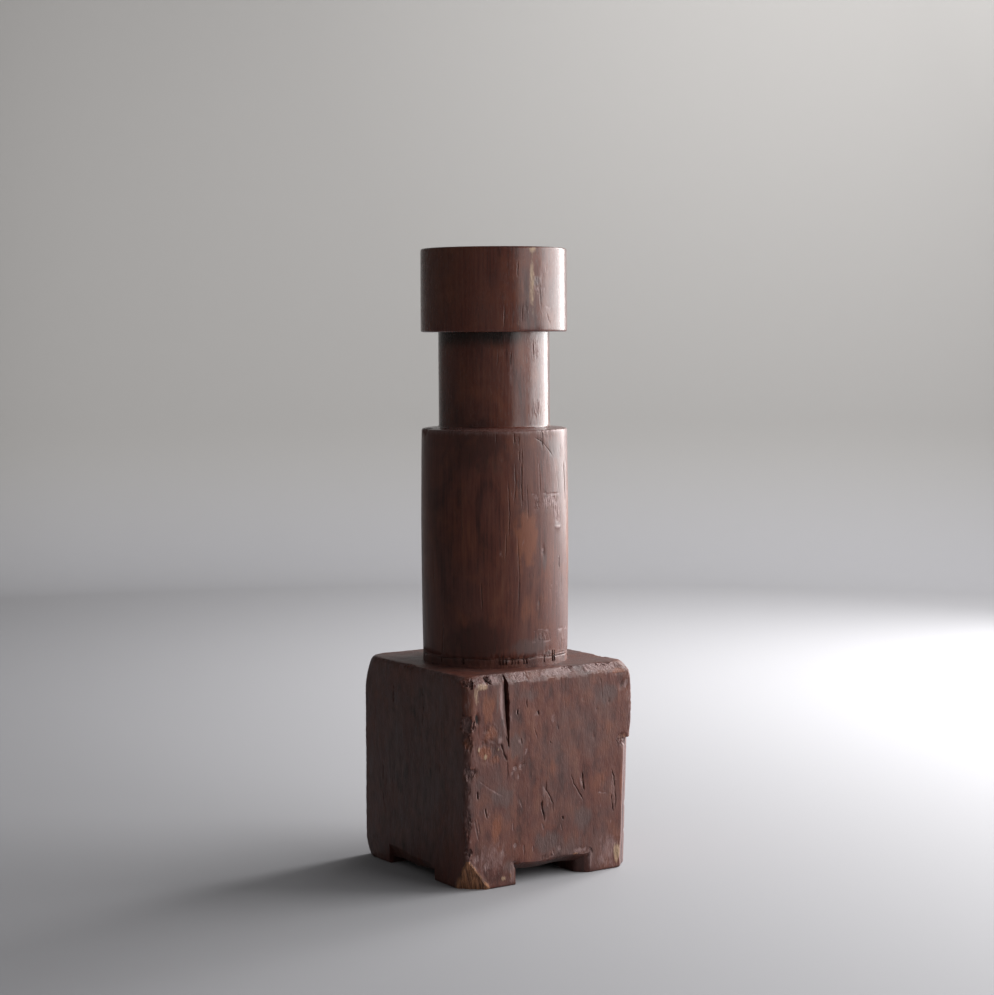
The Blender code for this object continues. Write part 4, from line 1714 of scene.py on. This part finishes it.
@dataclass(frozen=True)
class SmallKnocks:
    """Knocks and short checks scattered over every side, from a fixed seed."""

    seed: int = 11
    per_block_side: int = 22
    on_column: int = 46
    checks_per_side: int = 9

    def marks(self) -> list[Crack | Hollow]:
        """The scattered marks, in an order that the seed fixes.

        Returns:
            The knocks and checks, side by side.
        """
        rng = np.random.default_rng(self.seed)
        made: list[Crack | Hollow] = []
        stains = (Mask.RUBBED, Mask.RUBBED, Mask.GRIMY, Mask.REDDER)
        for side in Side:
            is_round = side is Side.ROUND
            wide = (-180.0, 180.0) if is_round else (-108.0, 108.0)
            tall = (266.0, 735.0) if is_round else (6.0, 240.0)
            knocks = self.on_column if is_round else self.per_block_side
            checks = self.checks_per_side * (3 if is_round else 1)
            if side in (Side.FRONT, Side.LEFT):
                knocks, checks = knocks // 3, checks // 3
            for _ in range(knocks):
                place = (float(rng.uniform(*wide)), float(rng.uniform(*tall)))
                size = (float(rng.uniform(1.0, 3.0)), float(rng.uniform(1.5, 6.0)))
                depth = float(rng.uniform(0.25, 0.8)) * (0.5 if is_round else 1.0)
                stain = stains[int(rng.integers(len(stains)))]
                lean, strength = float(rng.uniform(-40, 40)), float(rng.uniform(0.3, 0.7))
                made.append(Hollow(side, place, size, depth, lean, 0.2, stain, strength))
            for _ in range(checks):
                x, z = float(rng.uniform(*wide)), float(rng.uniform(*tall))
                long = float(rng.uniform(12, 40))
                drift = float(rng.normal(0, 1.0))
                path = ((x, z), (x + drift / 2, z - long / 2), (x + drift, z - long))
                made.append(Crack(side, path, 1.0, 0.5, 0.3, 0.4))
        return made


# ---------------------------------------------------------------------------------------------
# The finish


@dataclass(frozen=True)
class OiledWood:
    """Dark hardwood that was oiled long ago, dull on the block and with a worn gloss above.

    Attributes:
        dark, warm, brown: The three colours that the grain runs through.
        grey: The purplish grey of the weathered block, also used for painted light on the shake's
            slope.
        rubbed, red, grime_and_shade_colour: The colours of worn places and painted highlights, of
            redder places, and of dirt and painted shade.
        bare, bare_dark: The colours of wood that the oil never reached, along its fibres.
        raw: The colour of freshly broken wood.
        crack: The dark colour painted inside the open cracks as their shade.
        gloss_rough: Roughness of the neck and the cap.
        drum_rough: Roughness of the drum.
        block_rough: Roughness of the block.
        pith: Where the middle of the tree lay, as X and Y.
    """

    dark: tuple = (0.040, 0.0105, 0.0075, 1)
    warm: tuple = (0.094, 0.026, 0.017, 1)
    brown: tuple = (0.128, 0.046, 0.028, 1)
    grey: tuple = (0.080, 0.047, 0.043, 1)
    rubbed: tuple = (0.190, 0.114, 0.106, 1)
    bare: tuple = (0.300, 0.135, 0.066, 1)
    bare_dark: tuple = (0.080, 0.032, 0.018, 1)
    raw: tuple = (0.300, 0.200, 0.125, 1)
    crack: tuple = (0.021, 0.0095, 0.0075, 1)
    red: tuple = (0.155, 0.049, 0.024, 1)
    grime_and_shade_colour: tuple = (0.014, 0.0065, 0.0055, 1)
    gloss_rough: float = 0.24
    drum_rough: float = 0.38
    block_rough: float = 0.46
    pith: tuple = (0.022, 0.014)

    def material(self) -> bpy.types.Material:
        """The finish as a material that reads the wood's own coordinates and the masks.

        Returns:
            The material.
        """
        made = bpy.data.materials.new("oiled wood")
        made.use_nodes = True
        graph = Graph(made.node_tree)
        shader = made.node_tree.nodes["Principled BSDF"]
        place = graph.add("ShaderNodeTexCoord").outputs["Object"]
        masks = {
            mask: graph.add("ShaderNodeAttribute", attribute_name=mask.value).outputs["Fac"]
            for mask in Mask
            if mask not in (Mask.HELD, Mask.HEWN)
        }
        turned = masks[Mask.TURNED]
        rings, fibres, pores = self._grain(graph, place)
        blotches = graph.noise(graph.vector("MULTIPLY", place, (1.0, 1.0, 0.6)), 19.0, 4.0, 0.6)
        mottle = graph.noise(graph.vector("MULTIPLY", place, (1.0, 1.0, 0.42)), 92.0, 6.0, 0.62)
        clouds = graph.noise(graph.vector("ADD", place, (3.1, 1.7, 5.3)), 34.0, 4.0, 0.6)
        specks = graph.noise(graph.vector("MULTIPLY", place, (1.0, 1.0, 0.3)), 480.0, 3.0, 0.65)

        # on the block the grain is worn down and mottled, on the column it is clear
        grained = graph.math("MULTIPLY_ADD", fibres, 0.45, graph.math("MULTIPLY", rings, 0.55))
        mottled = graph.math("MULTIPLY_ADD", mottle, 0.7, graph.math("MULTIPLY", grained, 0.3))
        grain = graph.blend(turned, mottled, grained)
        colour = graph.mix(graph.remap(grain, 0.33, 0.53), self.dark, self.warm)
        colour = graph.mix(graph.remap(grain, 0.48, 0.68), colour, self.brown)
        greyed = graph.math("MULTIPLY_ADD", turned, -0.35, 0.6)
        greyed = graph.math("MULTIPLY", graph.remap(blotches, 0.36, 0.72), greyed)
        colour = graph.mix(greyed, colour, self.grey)
        reddened = graph.math("MULTIPLY", graph.remap(clouds, 0.46, 0.74), 0.4)
        colour = graph.mix(reddened, colour, self.red)

        def broken(mask: Mask, size: bpy.types.NodeSocket, low: float) -> bpy.types.NodeSocket:
            """A mask whose edge is broken up by one of the patterns."""
            loose = graph.math("MULTIPLY_ADD", size, 0.9, masks[mask])
            return graph.remap(loose, low, low + 0.5)

        colour = graph.mix(broken(Mask.REDDER, grain, 0.75), colour, self.red)
        greyer = graph.math("MULTIPLY", broken(Mask.GREYER, blotches, 0.7), 0.7)
        colour = graph.mix(greyer, colour, self.grey)
        rubbed = graph.math("MULTIPLY", broken(Mask.RUBBED, specks, 0.62), 0.85)
        colour = graph.mix(rubbed, colour, self.rubbed)
        parts = graph.add("ShaderNodeSeparateXYZ", {0: place}).outputs
        diagonal = graph.add(
            "ShaderNodeCombineXYZ",
            {
                "X": graph.math("SUBTRACT", parts[0], parts[1]),
                "Z": graph.math("MULTIPLY", parts[2], 0.1),
            },
        )
        streaks = graph.noise(diagonal.outputs[0], 330.0, 3.0, 0.65)
        unoiled = graph.mix(graph.remap(streaks, 0.36, 0.56), self.bare_dark, self.bare)
        colour = graph.mix(broken(Mask.BARE, fibres, 0.75), colour, unoiled)
        colour = graph.mix(broken(Mask.RAW, specks, 0.72), colour, self.raw)
        # dirt, and painted shade in hollows and on the shaded sides
        colour = graph.mix(broken(Mask.GRIMY, grain, 0.78), colour, self.grime_and_shade_colour)
        # pale specks over the block: dust, and painted glints on raised fibres
        dull = graph.math("SUBTRACT", 1.0, turned)
        dust_and_glint = graph.math("MULTIPLY", dull, 0.35)
        dust_and_glint = graph.math("MULTIPLY", graph.remap(specks, 0.60, 0.74), dust_and_glint)
        colour = graph.mix(dust_and_glint, colour, self.rubbed)
        pitted = graph.math("MULTIPLY", pores, graph.math("MULTIPLY_ADD", turned, 0.25, 0.15))
        colour = graph.mix(pitted, colour, self.grime_and_shade_colour)
        # painted shade down the middle of each open crack
        across = graph.math("ABSOLUTE", masks[Mask.LINE])
        crack_shade = graph.math("MULTIPLY", graph.remap(across, 1.25, 0.45), masks[Mask.NEAR])
        colour = graph.mix(crack_shade, colour, self.crack)
        graph.feed(shader.inputs["Base Color"], colour)

        height_up = graph.add("ShaderNodeSeparateXYZ", {0: place}).outputs[2]
        above_drum = graph.remap(height_up, 0.522, 0.527)
        column_rough = graph.blend(above_drum, self.drum_rough, self.gloss_rough)
        rough = graph.blend(turned, self.block_rough, column_rough)
        rough = graph.math("MULTIPLY_ADD", graph.math("SUBTRACT", mottle, 0.5), 0.3, rough)
        rough = graph.math("MULTIPLY_ADD", masks[Mask.RUBBED], 0.08, rough)
        rough = graph.math("MULTIPLY_ADD", masks[Mask.TORN], 0.12, rough)
        rough = graph.math("MULTIPLY_ADD", pores, 0.1, rough)
        graph.feed(shader.inputs["Roughness"], rough)

        on_block = graph.math("MULTIPLY_ADD", turned, -0.86, 1.0)
        height = graph.math("MULTIPLY", graph.math("MULTIPLY", fibres, on_block), 0.12)
        height = graph.math("MULTIPLY_ADD", rings, 0.05, height)
        height = graph.math("MULTIPLY_ADD", graph.math("MULTIPLY", mottle, on_block), 0.9, height)
        height = graph.math("MULTIPLY_ADD", pores, -0.05, height)
        height = graph.math("MULTIPLY_ADD", graph.math("MULTIPLY", specks, on_block), 0.4, height)
        wrinkled = graph.math("MULTIPLY", specks, masks[Mask.TORN])
        height = graph.math("MULTIPLY_ADD", wrinkled, 1.5, height)
        splintered = graph.math("MULTIPLY", streaks, masks[Mask.BARE])
        height = graph.math("MULTIPLY_ADD", splintered, 1.2, height)
        height = graph.math("MULTIPLY_ADD", crack_shade, -0.6, height)
        bump = graph.add("ShaderNodeBump", {"Height": height, "Strength": 0.8, "Distance": 0.0012})
        graph.feed(shader.inputs["Normal"], bump.outputs[0])
        shader.inputs["IOR"].default_value = 1.4
        return made

    def _grain(self, graph: Graph, place: bpy.types.NodeSocket) -> tuple:
        """The solid grain of the baulk.

        Args:
            graph: The material's tree.
            place: The wood's own coordinates.

        Returns:
            Three values from 0 to 1: growth rings, fibres and pores.
        """
        slow = graph.vector("MULTIPLY", place, (1.0, 1.0, 0.5))
        drift = graph.add("ShaderNodeTexNoise", {"Vector": slow, "Scale": 6.0, "Detail": 1.0})
        wander = graph.vector("SUBTRACT", drift.outputs["Color"], (0.5, 0.5, 0.5))
        wander = graph.vector("MULTIPLY", wander, (0.05, 0.05, 0.0))
        centred = graph.vector("ADD", place, wander)
        centred = graph.vector("SUBTRACT", centred, (self.pith[0], self.pith[1], 0.0))
        flat = graph.vector("MULTIPLY", centred, (1.0, 1.0, 0.0))
        reach = graph.add("ShaderNodeVectorMath", {0: flat}, operation="LENGTH").outputs["Value"]
        slid = graph.add("ShaderNodeSeparateXYZ", {0: centred}).outputs
        ring_place = graph.add(
            "ShaderNodeCombineXYZ",
            {
                "X": reach,
                "Y": graph.math("MULTIPLY", slid[0], 0.05),
                "Z": graph.math("MULTIPLY", slid[2], 0.02),
            },
        )
        rings = graph.noise(ring_place.outputs[0], 240.0, 3.0, 0.6)
        fibres = graph.noise(graph.vector("MULTIPLY", place, (1.0, 1.0, 0.04)), 380.0, 3.0, 0.6)
        dashes = graph.noise(graph.vector("MULTIPLY", place, (1.0, 1.0, 0.07)), 1500.0, 1.0, 0.5)
        pores = graph.remap(dashes, 0.60, 0.72)
        return rings, fibres, pores


# ---------------------------------------------------------------------------------------------
# The plinth


@dataclass
class Plinth:
    """The whole plinth: one piece of wood.

    Attributes:
        block: Its squared lower end.
        column: Its turned upper end.
        cuts: What is cut out of the block.
        chops: The chisel stabs round the drum's foot.
        surface: The relief laid over everything.
        knocks: Small marks scattered over every side.
        finish: The finish of the wood.
    """

    block: Block = field(default_factory=Block)
    column: Column = field(default_factory=Column)
    cuts: Cuts = field(default_factory=Cuts)
    chops: ChopMarks = field(default_factory=ChopMarks)
    surface: WeatheredSurface = field(default_factory=WeatheredSurface)
    knocks: SmallKnocks = field(default_factory=SmallKnocks)
    finish: OiledWood = field(default_factory=OiledWood)
    underside_rows: int = 7
    top_rows: int = 9

    def _rings(self) -> list[np.ndarray]:
        """Loops of points from the middle of the underside out, up and in to the top's middle.

        Returns:
            The loops, each with as many points as the block's outline.
        """
        block, turns = self.block, self.block.turns()
        floor = block.outline(0.0)
        rings = []
        for row in range(self.underside_rows):
            share = (row + 0.3) / (self.underside_rows + 0.3)
            rings.append(np.column_stack((floor * share, np.zeros(len(floor)))))
        for height in block.levels():
            outline = block.outline(height)
            rings.append(np.column_stack((outline, np.full(len(outline), height))))
        profile = self.column.profile(block.height)
        foot = profile[0][0] * np.column_stack((np.cos(turns), np.sin(turns)))
        edge = block.outline(block.height)
        for row in range(1, self.top_rows):
            flat = edge + (foot - edge) * row / self.top_rows
            rings.append(np.column_stack((flat, np.full(len(flat), block.height))))
        for radius, height in profile:
            circle = radius * np.column_stack((np.cos(turns), np.sin(turns)))
            rings.append(np.column_stack((circle, np.full(len(circle), height))))
        return rings

    def _rough_out(self) -> bpy.types.Object:
        """The baulk, squared and turned but not yet cut.

        Returns:
            The baulk as one closed skin.
        """
        vertices, faces = lofted(self._rings())
        caps, sides = faces[-2:], faces[:-2]
        for cap in caps:
            vertices = np.vstack((vertices, vertices[list(cap)].mean(axis=0)))
            middle = len(vertices) - 1
            sides += [(cap[i], cap[(i + 1) % len(cap)], middle) for i in range(len(cap))]
        return new_object("plinth_skin", vertices, sides, None)

    def _cut(self, baulk: bpy.types.Object, wood: bpy.types.Material) -> None:
        """Cuts the channels, the shake, the broken tip and the chop marks into the baulk.

        Args:
            baulk: The object that is cut.
            wood: The material of the chop marks.
        """
        channels = self.cuts.front_channel_cutter(self.block)
        apply_booleans(channels, "UNION", [self.cuts.left_channel_cutter(self.block)])
        cutters = [
            channels,
            self.cuts.shake_cutter(self.block),
            self.cuts.break_cutter(self.block),
            self.chops.cutter(self.block, self.column, wood),
        ]
        apply_booleans(baulk, "DIFFERENCE", cutters)

    def _refine(self, baulk: bpy.types.Object, marks: list) -> None:
        """Divides the faces near marks, once or twice, so that the marks come out crisp.

        Args:
            baulk: The object whose mesh is divided.
            marks: The cracks, hollows and chips to come.
        """
        data = bmesh.new()
        data.from_mesh(baulk.data)
        for level in (1, 2):
            faces = list(data.faces)
            middles = np.array([face.calc_center_median() for face in faces])
            normals = np.array([face.normal for face in faces])
            wanted = np.zeros(len(faces), dtype=int)
            charts = {
                side: chart_of(side, middles, normals, self.block.height) for side in Side
            }
            for mark in marks:
                if isinstance(mark, Chip):
                    np.maximum(wanted, 2 * (mark.out(middles) < 1.1), out=wanted)
                    continue
                chart = charts[mark.side]
                wanted[chart.members] = np.maximum(wanted[chart.members], mark.detail(chart))
            edges = {
                edge
                for face, want in zip(faces, wanted)
                if want >= level and len(face.verts) <= 4
                for edge in face.edges
            }
            bmesh.ops.subdivide_edges(data, edges=list(edges), cuts=1, use_grid_fill=True)
        data.to_mesh(baulk.data)
        data.free()

    def _mark(self, baulk: bpy.types.Object, marks: list) -> None:
        """Presses the marks into the skin and stores their masks on its points.

        Args:
            baulk: The object whose mesh is marked.
            marks: The cracks, hollows and chips.
        """
        mesh = baulk.data
        count = len(mesh.vertices)
        places, normals = np.zeros(count * 3), np.zeros(count * 3)
        mesh.vertices.foreach_get("co", places)
        mesh.vertex_normals.foreach_get("vector", normals)
        skin = Skin(places.reshape(-1, 3), normals.reshape(-1, 3), self.block.height)
        self._set_grounds(skin)
        self._wear_arrises(skin)
        for mark in marks:
            mark.press(skin)
        mesh.vertices.foreach_set("co", skin.places.ravel())
        for mask, layer in skin.masks.items():
            attribute = mesh.attributes.new(mask.value, "FLOAT", "POINT")
            attribute.data.foreach_set("value", layer.astype(np.float32))
        mesh.update()

    def _set_grounds(self, skin: Skin) -> None:
        """Paints what depends on the form alone: block or column, edges, hollows and cuts.

        Args:
            skin: The skin that it changes.
        """
        x, y, z = skin.places.T
        top = self.block.height
        reach = np.hypot(x, y)
        turned = smooth_step(z, top + 8 * MM, top + 16 * MM)
        skin.masks[Mask.TURNED][:] = turned
        skin.masks[Mask.HEWN][:] = 1 - turned
        crown = top + self.column.drum_height + self.column.neck_height + self.column.cap_height
        on_floor = z < 0.3 * MM
        on_crown = (z > crown - 0.3 * MM) & (skin.normals[:, 2] > 0.9)
        skin.masks[Mask.HELD][:] = np.where(on_floor | on_crown, 0.0, 1.0)
        everything = np.arange(len(z))
        inside = np.minimum(self.block.half - np.abs(x), self.block.half - np.abs(y))
        is_block = z < top + 0.5 * MM
        # darker near the floor; painted shade inside the channels and in the corner round the
        # drum's foot
        skin.paint(Mask.GRIMY, everything, np.where(z < 3 * MM, 0.45, 0.0))
        near_tip = (x + self.block.half) + (y + self.block.half)
        cut_back = (near_tip < 31 * MM) & (z < self.cuts.break_height) & is_block
        sunk = is_block & (z < top - 12 * MM) & (inside > 4 * MM) & ~cut_back
        skin.paint(Mask.GRIMY, everything, np.where(sunk, 0.6, 0.0))
        round_foot = np.abs(reach - self.column.drum_foot / 2) < 3 * MM
        in_ring = (z > top - 1 * MM) & (z < top + self.column.ring_height)
        skin.paint(Mask.GRIMY, everything, np.where(round_foot & in_ring, 0.15, 0.0))
        # painted shade under the cap, on the side away from the light
        underside = top + self.column.drum_height + self.column.neck_height
        under_cap = smooth_step(z, underside - 40 * MM, underside - 2 * MM) * (z < underside)
        under_cap *= reach < self.column.cap / 2 - 8 * MM
        under_cap *= 1 - smooth_step(x, -20 * MM, 12 * MM)
        skin.paint(Mask.GRIMY, everything, 0.75 * under_cap)
        # a painted highlight along the top of the drum's shoulder
        shoulder = top + self.column.drum_height
        on_shoulder = (np.abs(z - shoulder) < 4 * MM) & (reach > self.column.neck / 2 + 1 * MM)
        skin.paint(Mask.RUBBED, everything, np.where(on_shoulder, 0.42, 0.0))
        # the broken tip and the split strip show bare wood
        beyond = (x + self.block.half) / self.cuts.break_on_front
        beyond += (y + self.block.half) / self.cuts.break_on_left + z / self.cuts.break_height
        on_break = (1 - smooth_step(beyond, 1.05, 1.22)) * (is_block & (z < self.cuts.break_height))
        skin.paint(Mask.BARE, everything, on_break)
        skin.paint(Mask.TORN, everything, 0.5 * on_break)
        split = (x > self.block.half - 17 * MM) & (y < -self.block.half + 16 * MM)
        diagonal = (skin.normals[:, 0] > 0.45) & (skin.normals[:, 1] < -0.45)
        strip = split & diagonal & (z < self.block.split.height)
        skin.paint(Mask.RUBBED, everything, np.where(strip, 0.8, 0.0))

    def _wear_arrises(self, skin: Skin) -> None:
        """Takes small, irregular bites out of the block's arrises and rubs them pale.

        Args:
            skin: The skin that it changes.
        """
        x, y, z = skin.places.T
        half, top = self.block.half, self.block.height
        from_side = np.sort(np.stack((half - np.abs(x), half - np.abs(y), top - z)), axis=0)
        close = (z < top + 0.2 * MM) & (from_side[1] < 11 * MM) & (z > 1 * MM)
        close &= (np.hypot(x, y) > self.column.cap / 2 + 12 * MM)
        members = np.nonzero(close)[0]
        spots = skin.places[members]
        lumps = grain_noise(spots, Vector((0.009, 0.009, 0.012)), 21)
        nicks = grain_noise(spots, Vector((0.0030, 0.0030, 0.0036)), 22)
        along = 1 - smooth_step(from_side[1][members], 3 * MM, 11 * MM)
        bite = np.clip(0.5 * lumps + 0.8 * nicks + 0.08, 0.0, 1.0) * along
        front = smooth_step(-y[members], half - 16 * MM, half - 9 * MM)
        strength = 0.5 * MM + front * np.where(x[members] < 0, 0.9 * MM, 0.8 * MM)
        skin.places[members] -= skin.normals[members] * (bite * strength)[:, None]
        skin.paint(Mask.RUBBED, members, 0.25 * along + 0.4 * bite)
        skin.paint(Mask.TORN, members, 0.3 * along)

    def build(self) -> bpy.types.Object:
        """Builds, marks and dresses the plinth.

        Returns:
            The finished piece.
        """
        wood = self.finish.material()
        baulk = self._rough_out()
        LOG.info("roughed out: %d faces", len(baulk.data.polygons))
        self._cut(baulk, wood)
        LOG.info("cut: %d faces", len(baulk.data.polygons))
        marks = [*HOLLOWS, *CHIPS, *CRACKS, *self.knocks.marks()]
        self._refine(baulk, marks)
        LOG.info("divided near the marks: %d faces", len(baulk.data.polygons))
        self._mark(baulk, marks)
        self.surface.lay(baulk, wood)
        baulk.data.shade_smooth()
        baulk.data.set_sharp_from_angle(angle=math.radians(48))
        return baulk


# ---------------------------------------------------------------------------------------------
# The studio


@dataclass(frozen=True)
class Lamp:
    """One large soft light.

    Attributes:
        name: What it is called.
        azimuth: Its direction from the middle of the floor, in degrees from +X.
        distance: How far out it hangs.
        height: How high its middle hangs.
        size: Its width and height.
        aim_height: The height that it points at.
        power: Its power in watts.
        wall_azimuth: Where on the wall it points, or None where it points at the plinth.
    """

    name: str
    azimuth: float
    distance: float
    height: float
    size: tuple[float, float]
    aim_height: float
    power: float
    wall_azimuth: float | None = None

    def hang(self, wall_radius: float) -> None:
        """Puts the lamp in the scene.

        Args:
            wall_radius: How far out the wall stands, for a lamp that lights the wall.
        """
        data = bpy.data.lights.new(self.name, "AREA")
        data.shape = "RECTANGLE"
        data.size, data.size_y = self.size
        data.energy = self.power
        lamp = bpy.data.objects.new(self.name, data)
        turn = math.radians(self.azimuth)
        place = Vector((math.cos(turn), math.sin(turn), 0.0)) * self.distance
        place.z = self.height
        aim = Vector((0.0, 0.0, self.aim_height))
        if self.wall_azimuth is not None:
            turn = math.radians(self.wall_azimuth)
            aim += Vector((math.cos(turn), math.sin(turn), 0.0)) * wall_radius
        lamp.location = place
        lamp.rotation_euler = (aim - place).to_track_quat("-Z", "Y").to_euler()
        lamp.visible_camera = False
        bpy.context.scene.collection.objects.link(lamp)


@dataclass(frozen=True)
class Studio:
    """A plain pale floor that curves up into a wall, a large soft light and the camera."""

    floor_colour: tuple = (0.335, 0.331, 0.345, 1)
    wall_colour: tuple = (0.335, 0.325, 0.315, 1)
    dim_colour: tuple = (0.190, 0.183, 0.176, 1)  # painted shade on the sweep away from the window
    wall_radius: float = 3.3
    wall_height: float = 2.6
    cove: float = 0.4
    floor_rows: int = 8
    cove_rows: int = 12
    sides: int = 96
    lamps: tuple[Lamp, ...] = (
        Lamp("soft window", -16.0, 2.1, 1.15, (2.3, 1.9), 0.42, 112.0),
        Lamp("pale side", -66.0, 2.3, 1.1, (1.5, 1.8), 0.42, 26.0),
        Lamp("far window", 15.0, 2.2, 1.1, (0.5, 1.9), 0.42, 32.0),
        Lamp("wall light", 30.0, 1.7, 2.3, (1.0, 0.4), 0.7, 62.0, 30.0),
    )
    sky: float = 0.12
    view_turn: float = 33.4  # degrees that the camera is turned from +Y
    view_pitch: float = 0.0755
    view_roll: float = -0.005
    view_aside: float = 0.002868  # the camera's place, as it looks: aside, back and up
    view_back: float = -2.640
    view_height: float = 0.642
    lens: float = 36 * 2200 / 995

    def floor(self) -> bpy.types.Object:
        """The floor and the wall round it as one pale sweep, with painted shade on the side away
        from the window.

        Returns:
            The sweep's object.
        """
        profile = [(0.0, 0.0)]
        flat = self.wall_radius - self.cove
        rows = self.floor_rows
        profile += [(flat * step / rows, 0.0) for step in range(1, rows + 1)]
        for step in range(1, self.cove_rows + 1):
            turn = math.radians(90 * step / self.cove_rows)
            height = self.cove * (1 - math.cos(turn))
            profile.append((flat + self.cove * math.sin(turn), height))
        profile.append((self.wall_radius, self.wall_height))
        sides = self.sides
        vertices = [(0.0, 0.0, 0.0)]
        for radius, height in profile[1:]:
            for side in range(sides):
                turn = 2 * math.pi * side / sides
                vertices.append((radius * math.cos(turn), radius * math.sin(turn), height))
        faces = [(0, 1 + side, 1 + (side + 1) % sides) for side in range(sides)]
        for row in range(len(profile) - 2):
            base = 1 + row * sides
            for i in range(sides):
                j = (i + 1) % sides
                faces.append((base + i, base + sides + i, base + sides + j, base + j))
        mesh = bpy.data.meshes.new("pale floor")
        mesh.from_pydata(vertices, [], faces)
        mesh.shade_smooth()
        finish = bpy.data.materials.new("pale floor")
        finish.use_nodes = True
        shader = finish.node_tree.nodes["Principled BSDF"]
        graph = Graph(finish.node_tree)
        place = graph.add("ShaderNodeTexCoord").outputs["Object"]
        height = graph.add("ShaderNodeSeparateXYZ", {0: place}).outputs[2]
        pale = graph.mix(graph.remap(height, 0.0, self.cove), self.floor_colour, self.wall_colour)
        # painted shade: the sweep darkens on the side away from the window
        away = math.radians(180 - self.view_turn)
        towards = (math.cos(away), math.sin(away), 0.0)
        reach = graph.add("ShaderNodeVectorMath", {0: place, 1: towards}, operation="DOT_PRODUCT")
        pale = graph.mix(graph.remap(reach.outputs["Value"], 1.0, 2.4), pale, self.dim_colour)
        graph.feed(shader.inputs["Base Color"], pale)
        shader.inputs["Roughness"].default_value = 0.85
        mesh.materials.append(finish)
        obj = bpy.data.objects.new("pale floor", mesh)
        bpy.context.scene.collection.objects.link(obj)
        return obj

    def light(self) -> None:
        """The lamps, and a faint light from everywhere."""
        for lamp in self.lamps:
            lamp.hang(self.wall_radius)
        world = bpy.data.worlds.new("soft sky")
        world.use_nodes = True
        background = world.node_tree.nodes["Background"]
        background.inputs["Color"].default_value = (0.93, 0.96, 1.0, 1.0)
        background.inputs["Strength"].default_value = self.sky
        bpy.context.scene.world = world
        bpy.context.scene.view_settings.view_transform = "Standard"

    def camera(self) -> None:
        """The camera, at the angle and distance that the plinth is seen from."""
        turn, pitch, roll = math.radians(self.view_turn), self.view_pitch, self.view_roll
        forward = Vector(
            (
                math.sin(turn) * math.cos(pitch),
                math.cos(turn) * math.cos(pitch),
                -math.sin(pitch),
            )
        )
        right = forward.cross(Vector((0, 0, 1))).normalized()
        up = right.cross(forward)
        rolled_right = right * math.cos(roll) + up * math.sin(roll)
        rolled_up = up * math.cos(roll) - right * math.sin(roll)
        data = bpy.data.cameras.new("camera")
        data.lens, data.sensor_width = self.lens, 36
        obj = bpy.data.objects.new("camera", data)
        pose = Matrix((rolled_right, rolled_up, -forward)).transposed().to_4x4()
        aside, back = self.view_aside, self.view_back
        pose.translation = (
            math.cos(turn) * aside + math.sin(turn) * back,
            -math.sin(turn) * aside + math.cos(turn) * back,
            self.view_height,
        )
        obj.matrix_world = pose
        bpy.context.scene.collection.objects.link(obj)
        bpy.context.scene.camera = obj


def main() -> None:
    logging.basicConfig(level=logging.INFO, format="%(name)s: %(message)s", force=True)
    plinth = Plinth().build()
    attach(plinth, "root")
    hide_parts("plinth")
    triangles = sum(len(face.vertices) - 2 for face in plinth.data.polygons)
    LOG.info("%s: %d triangles", plinth.name, triangles)
    studio = Studio()
    studio.floor()
    studio.light()
    studio.camera()


if __name__ == "__main__":
    main()
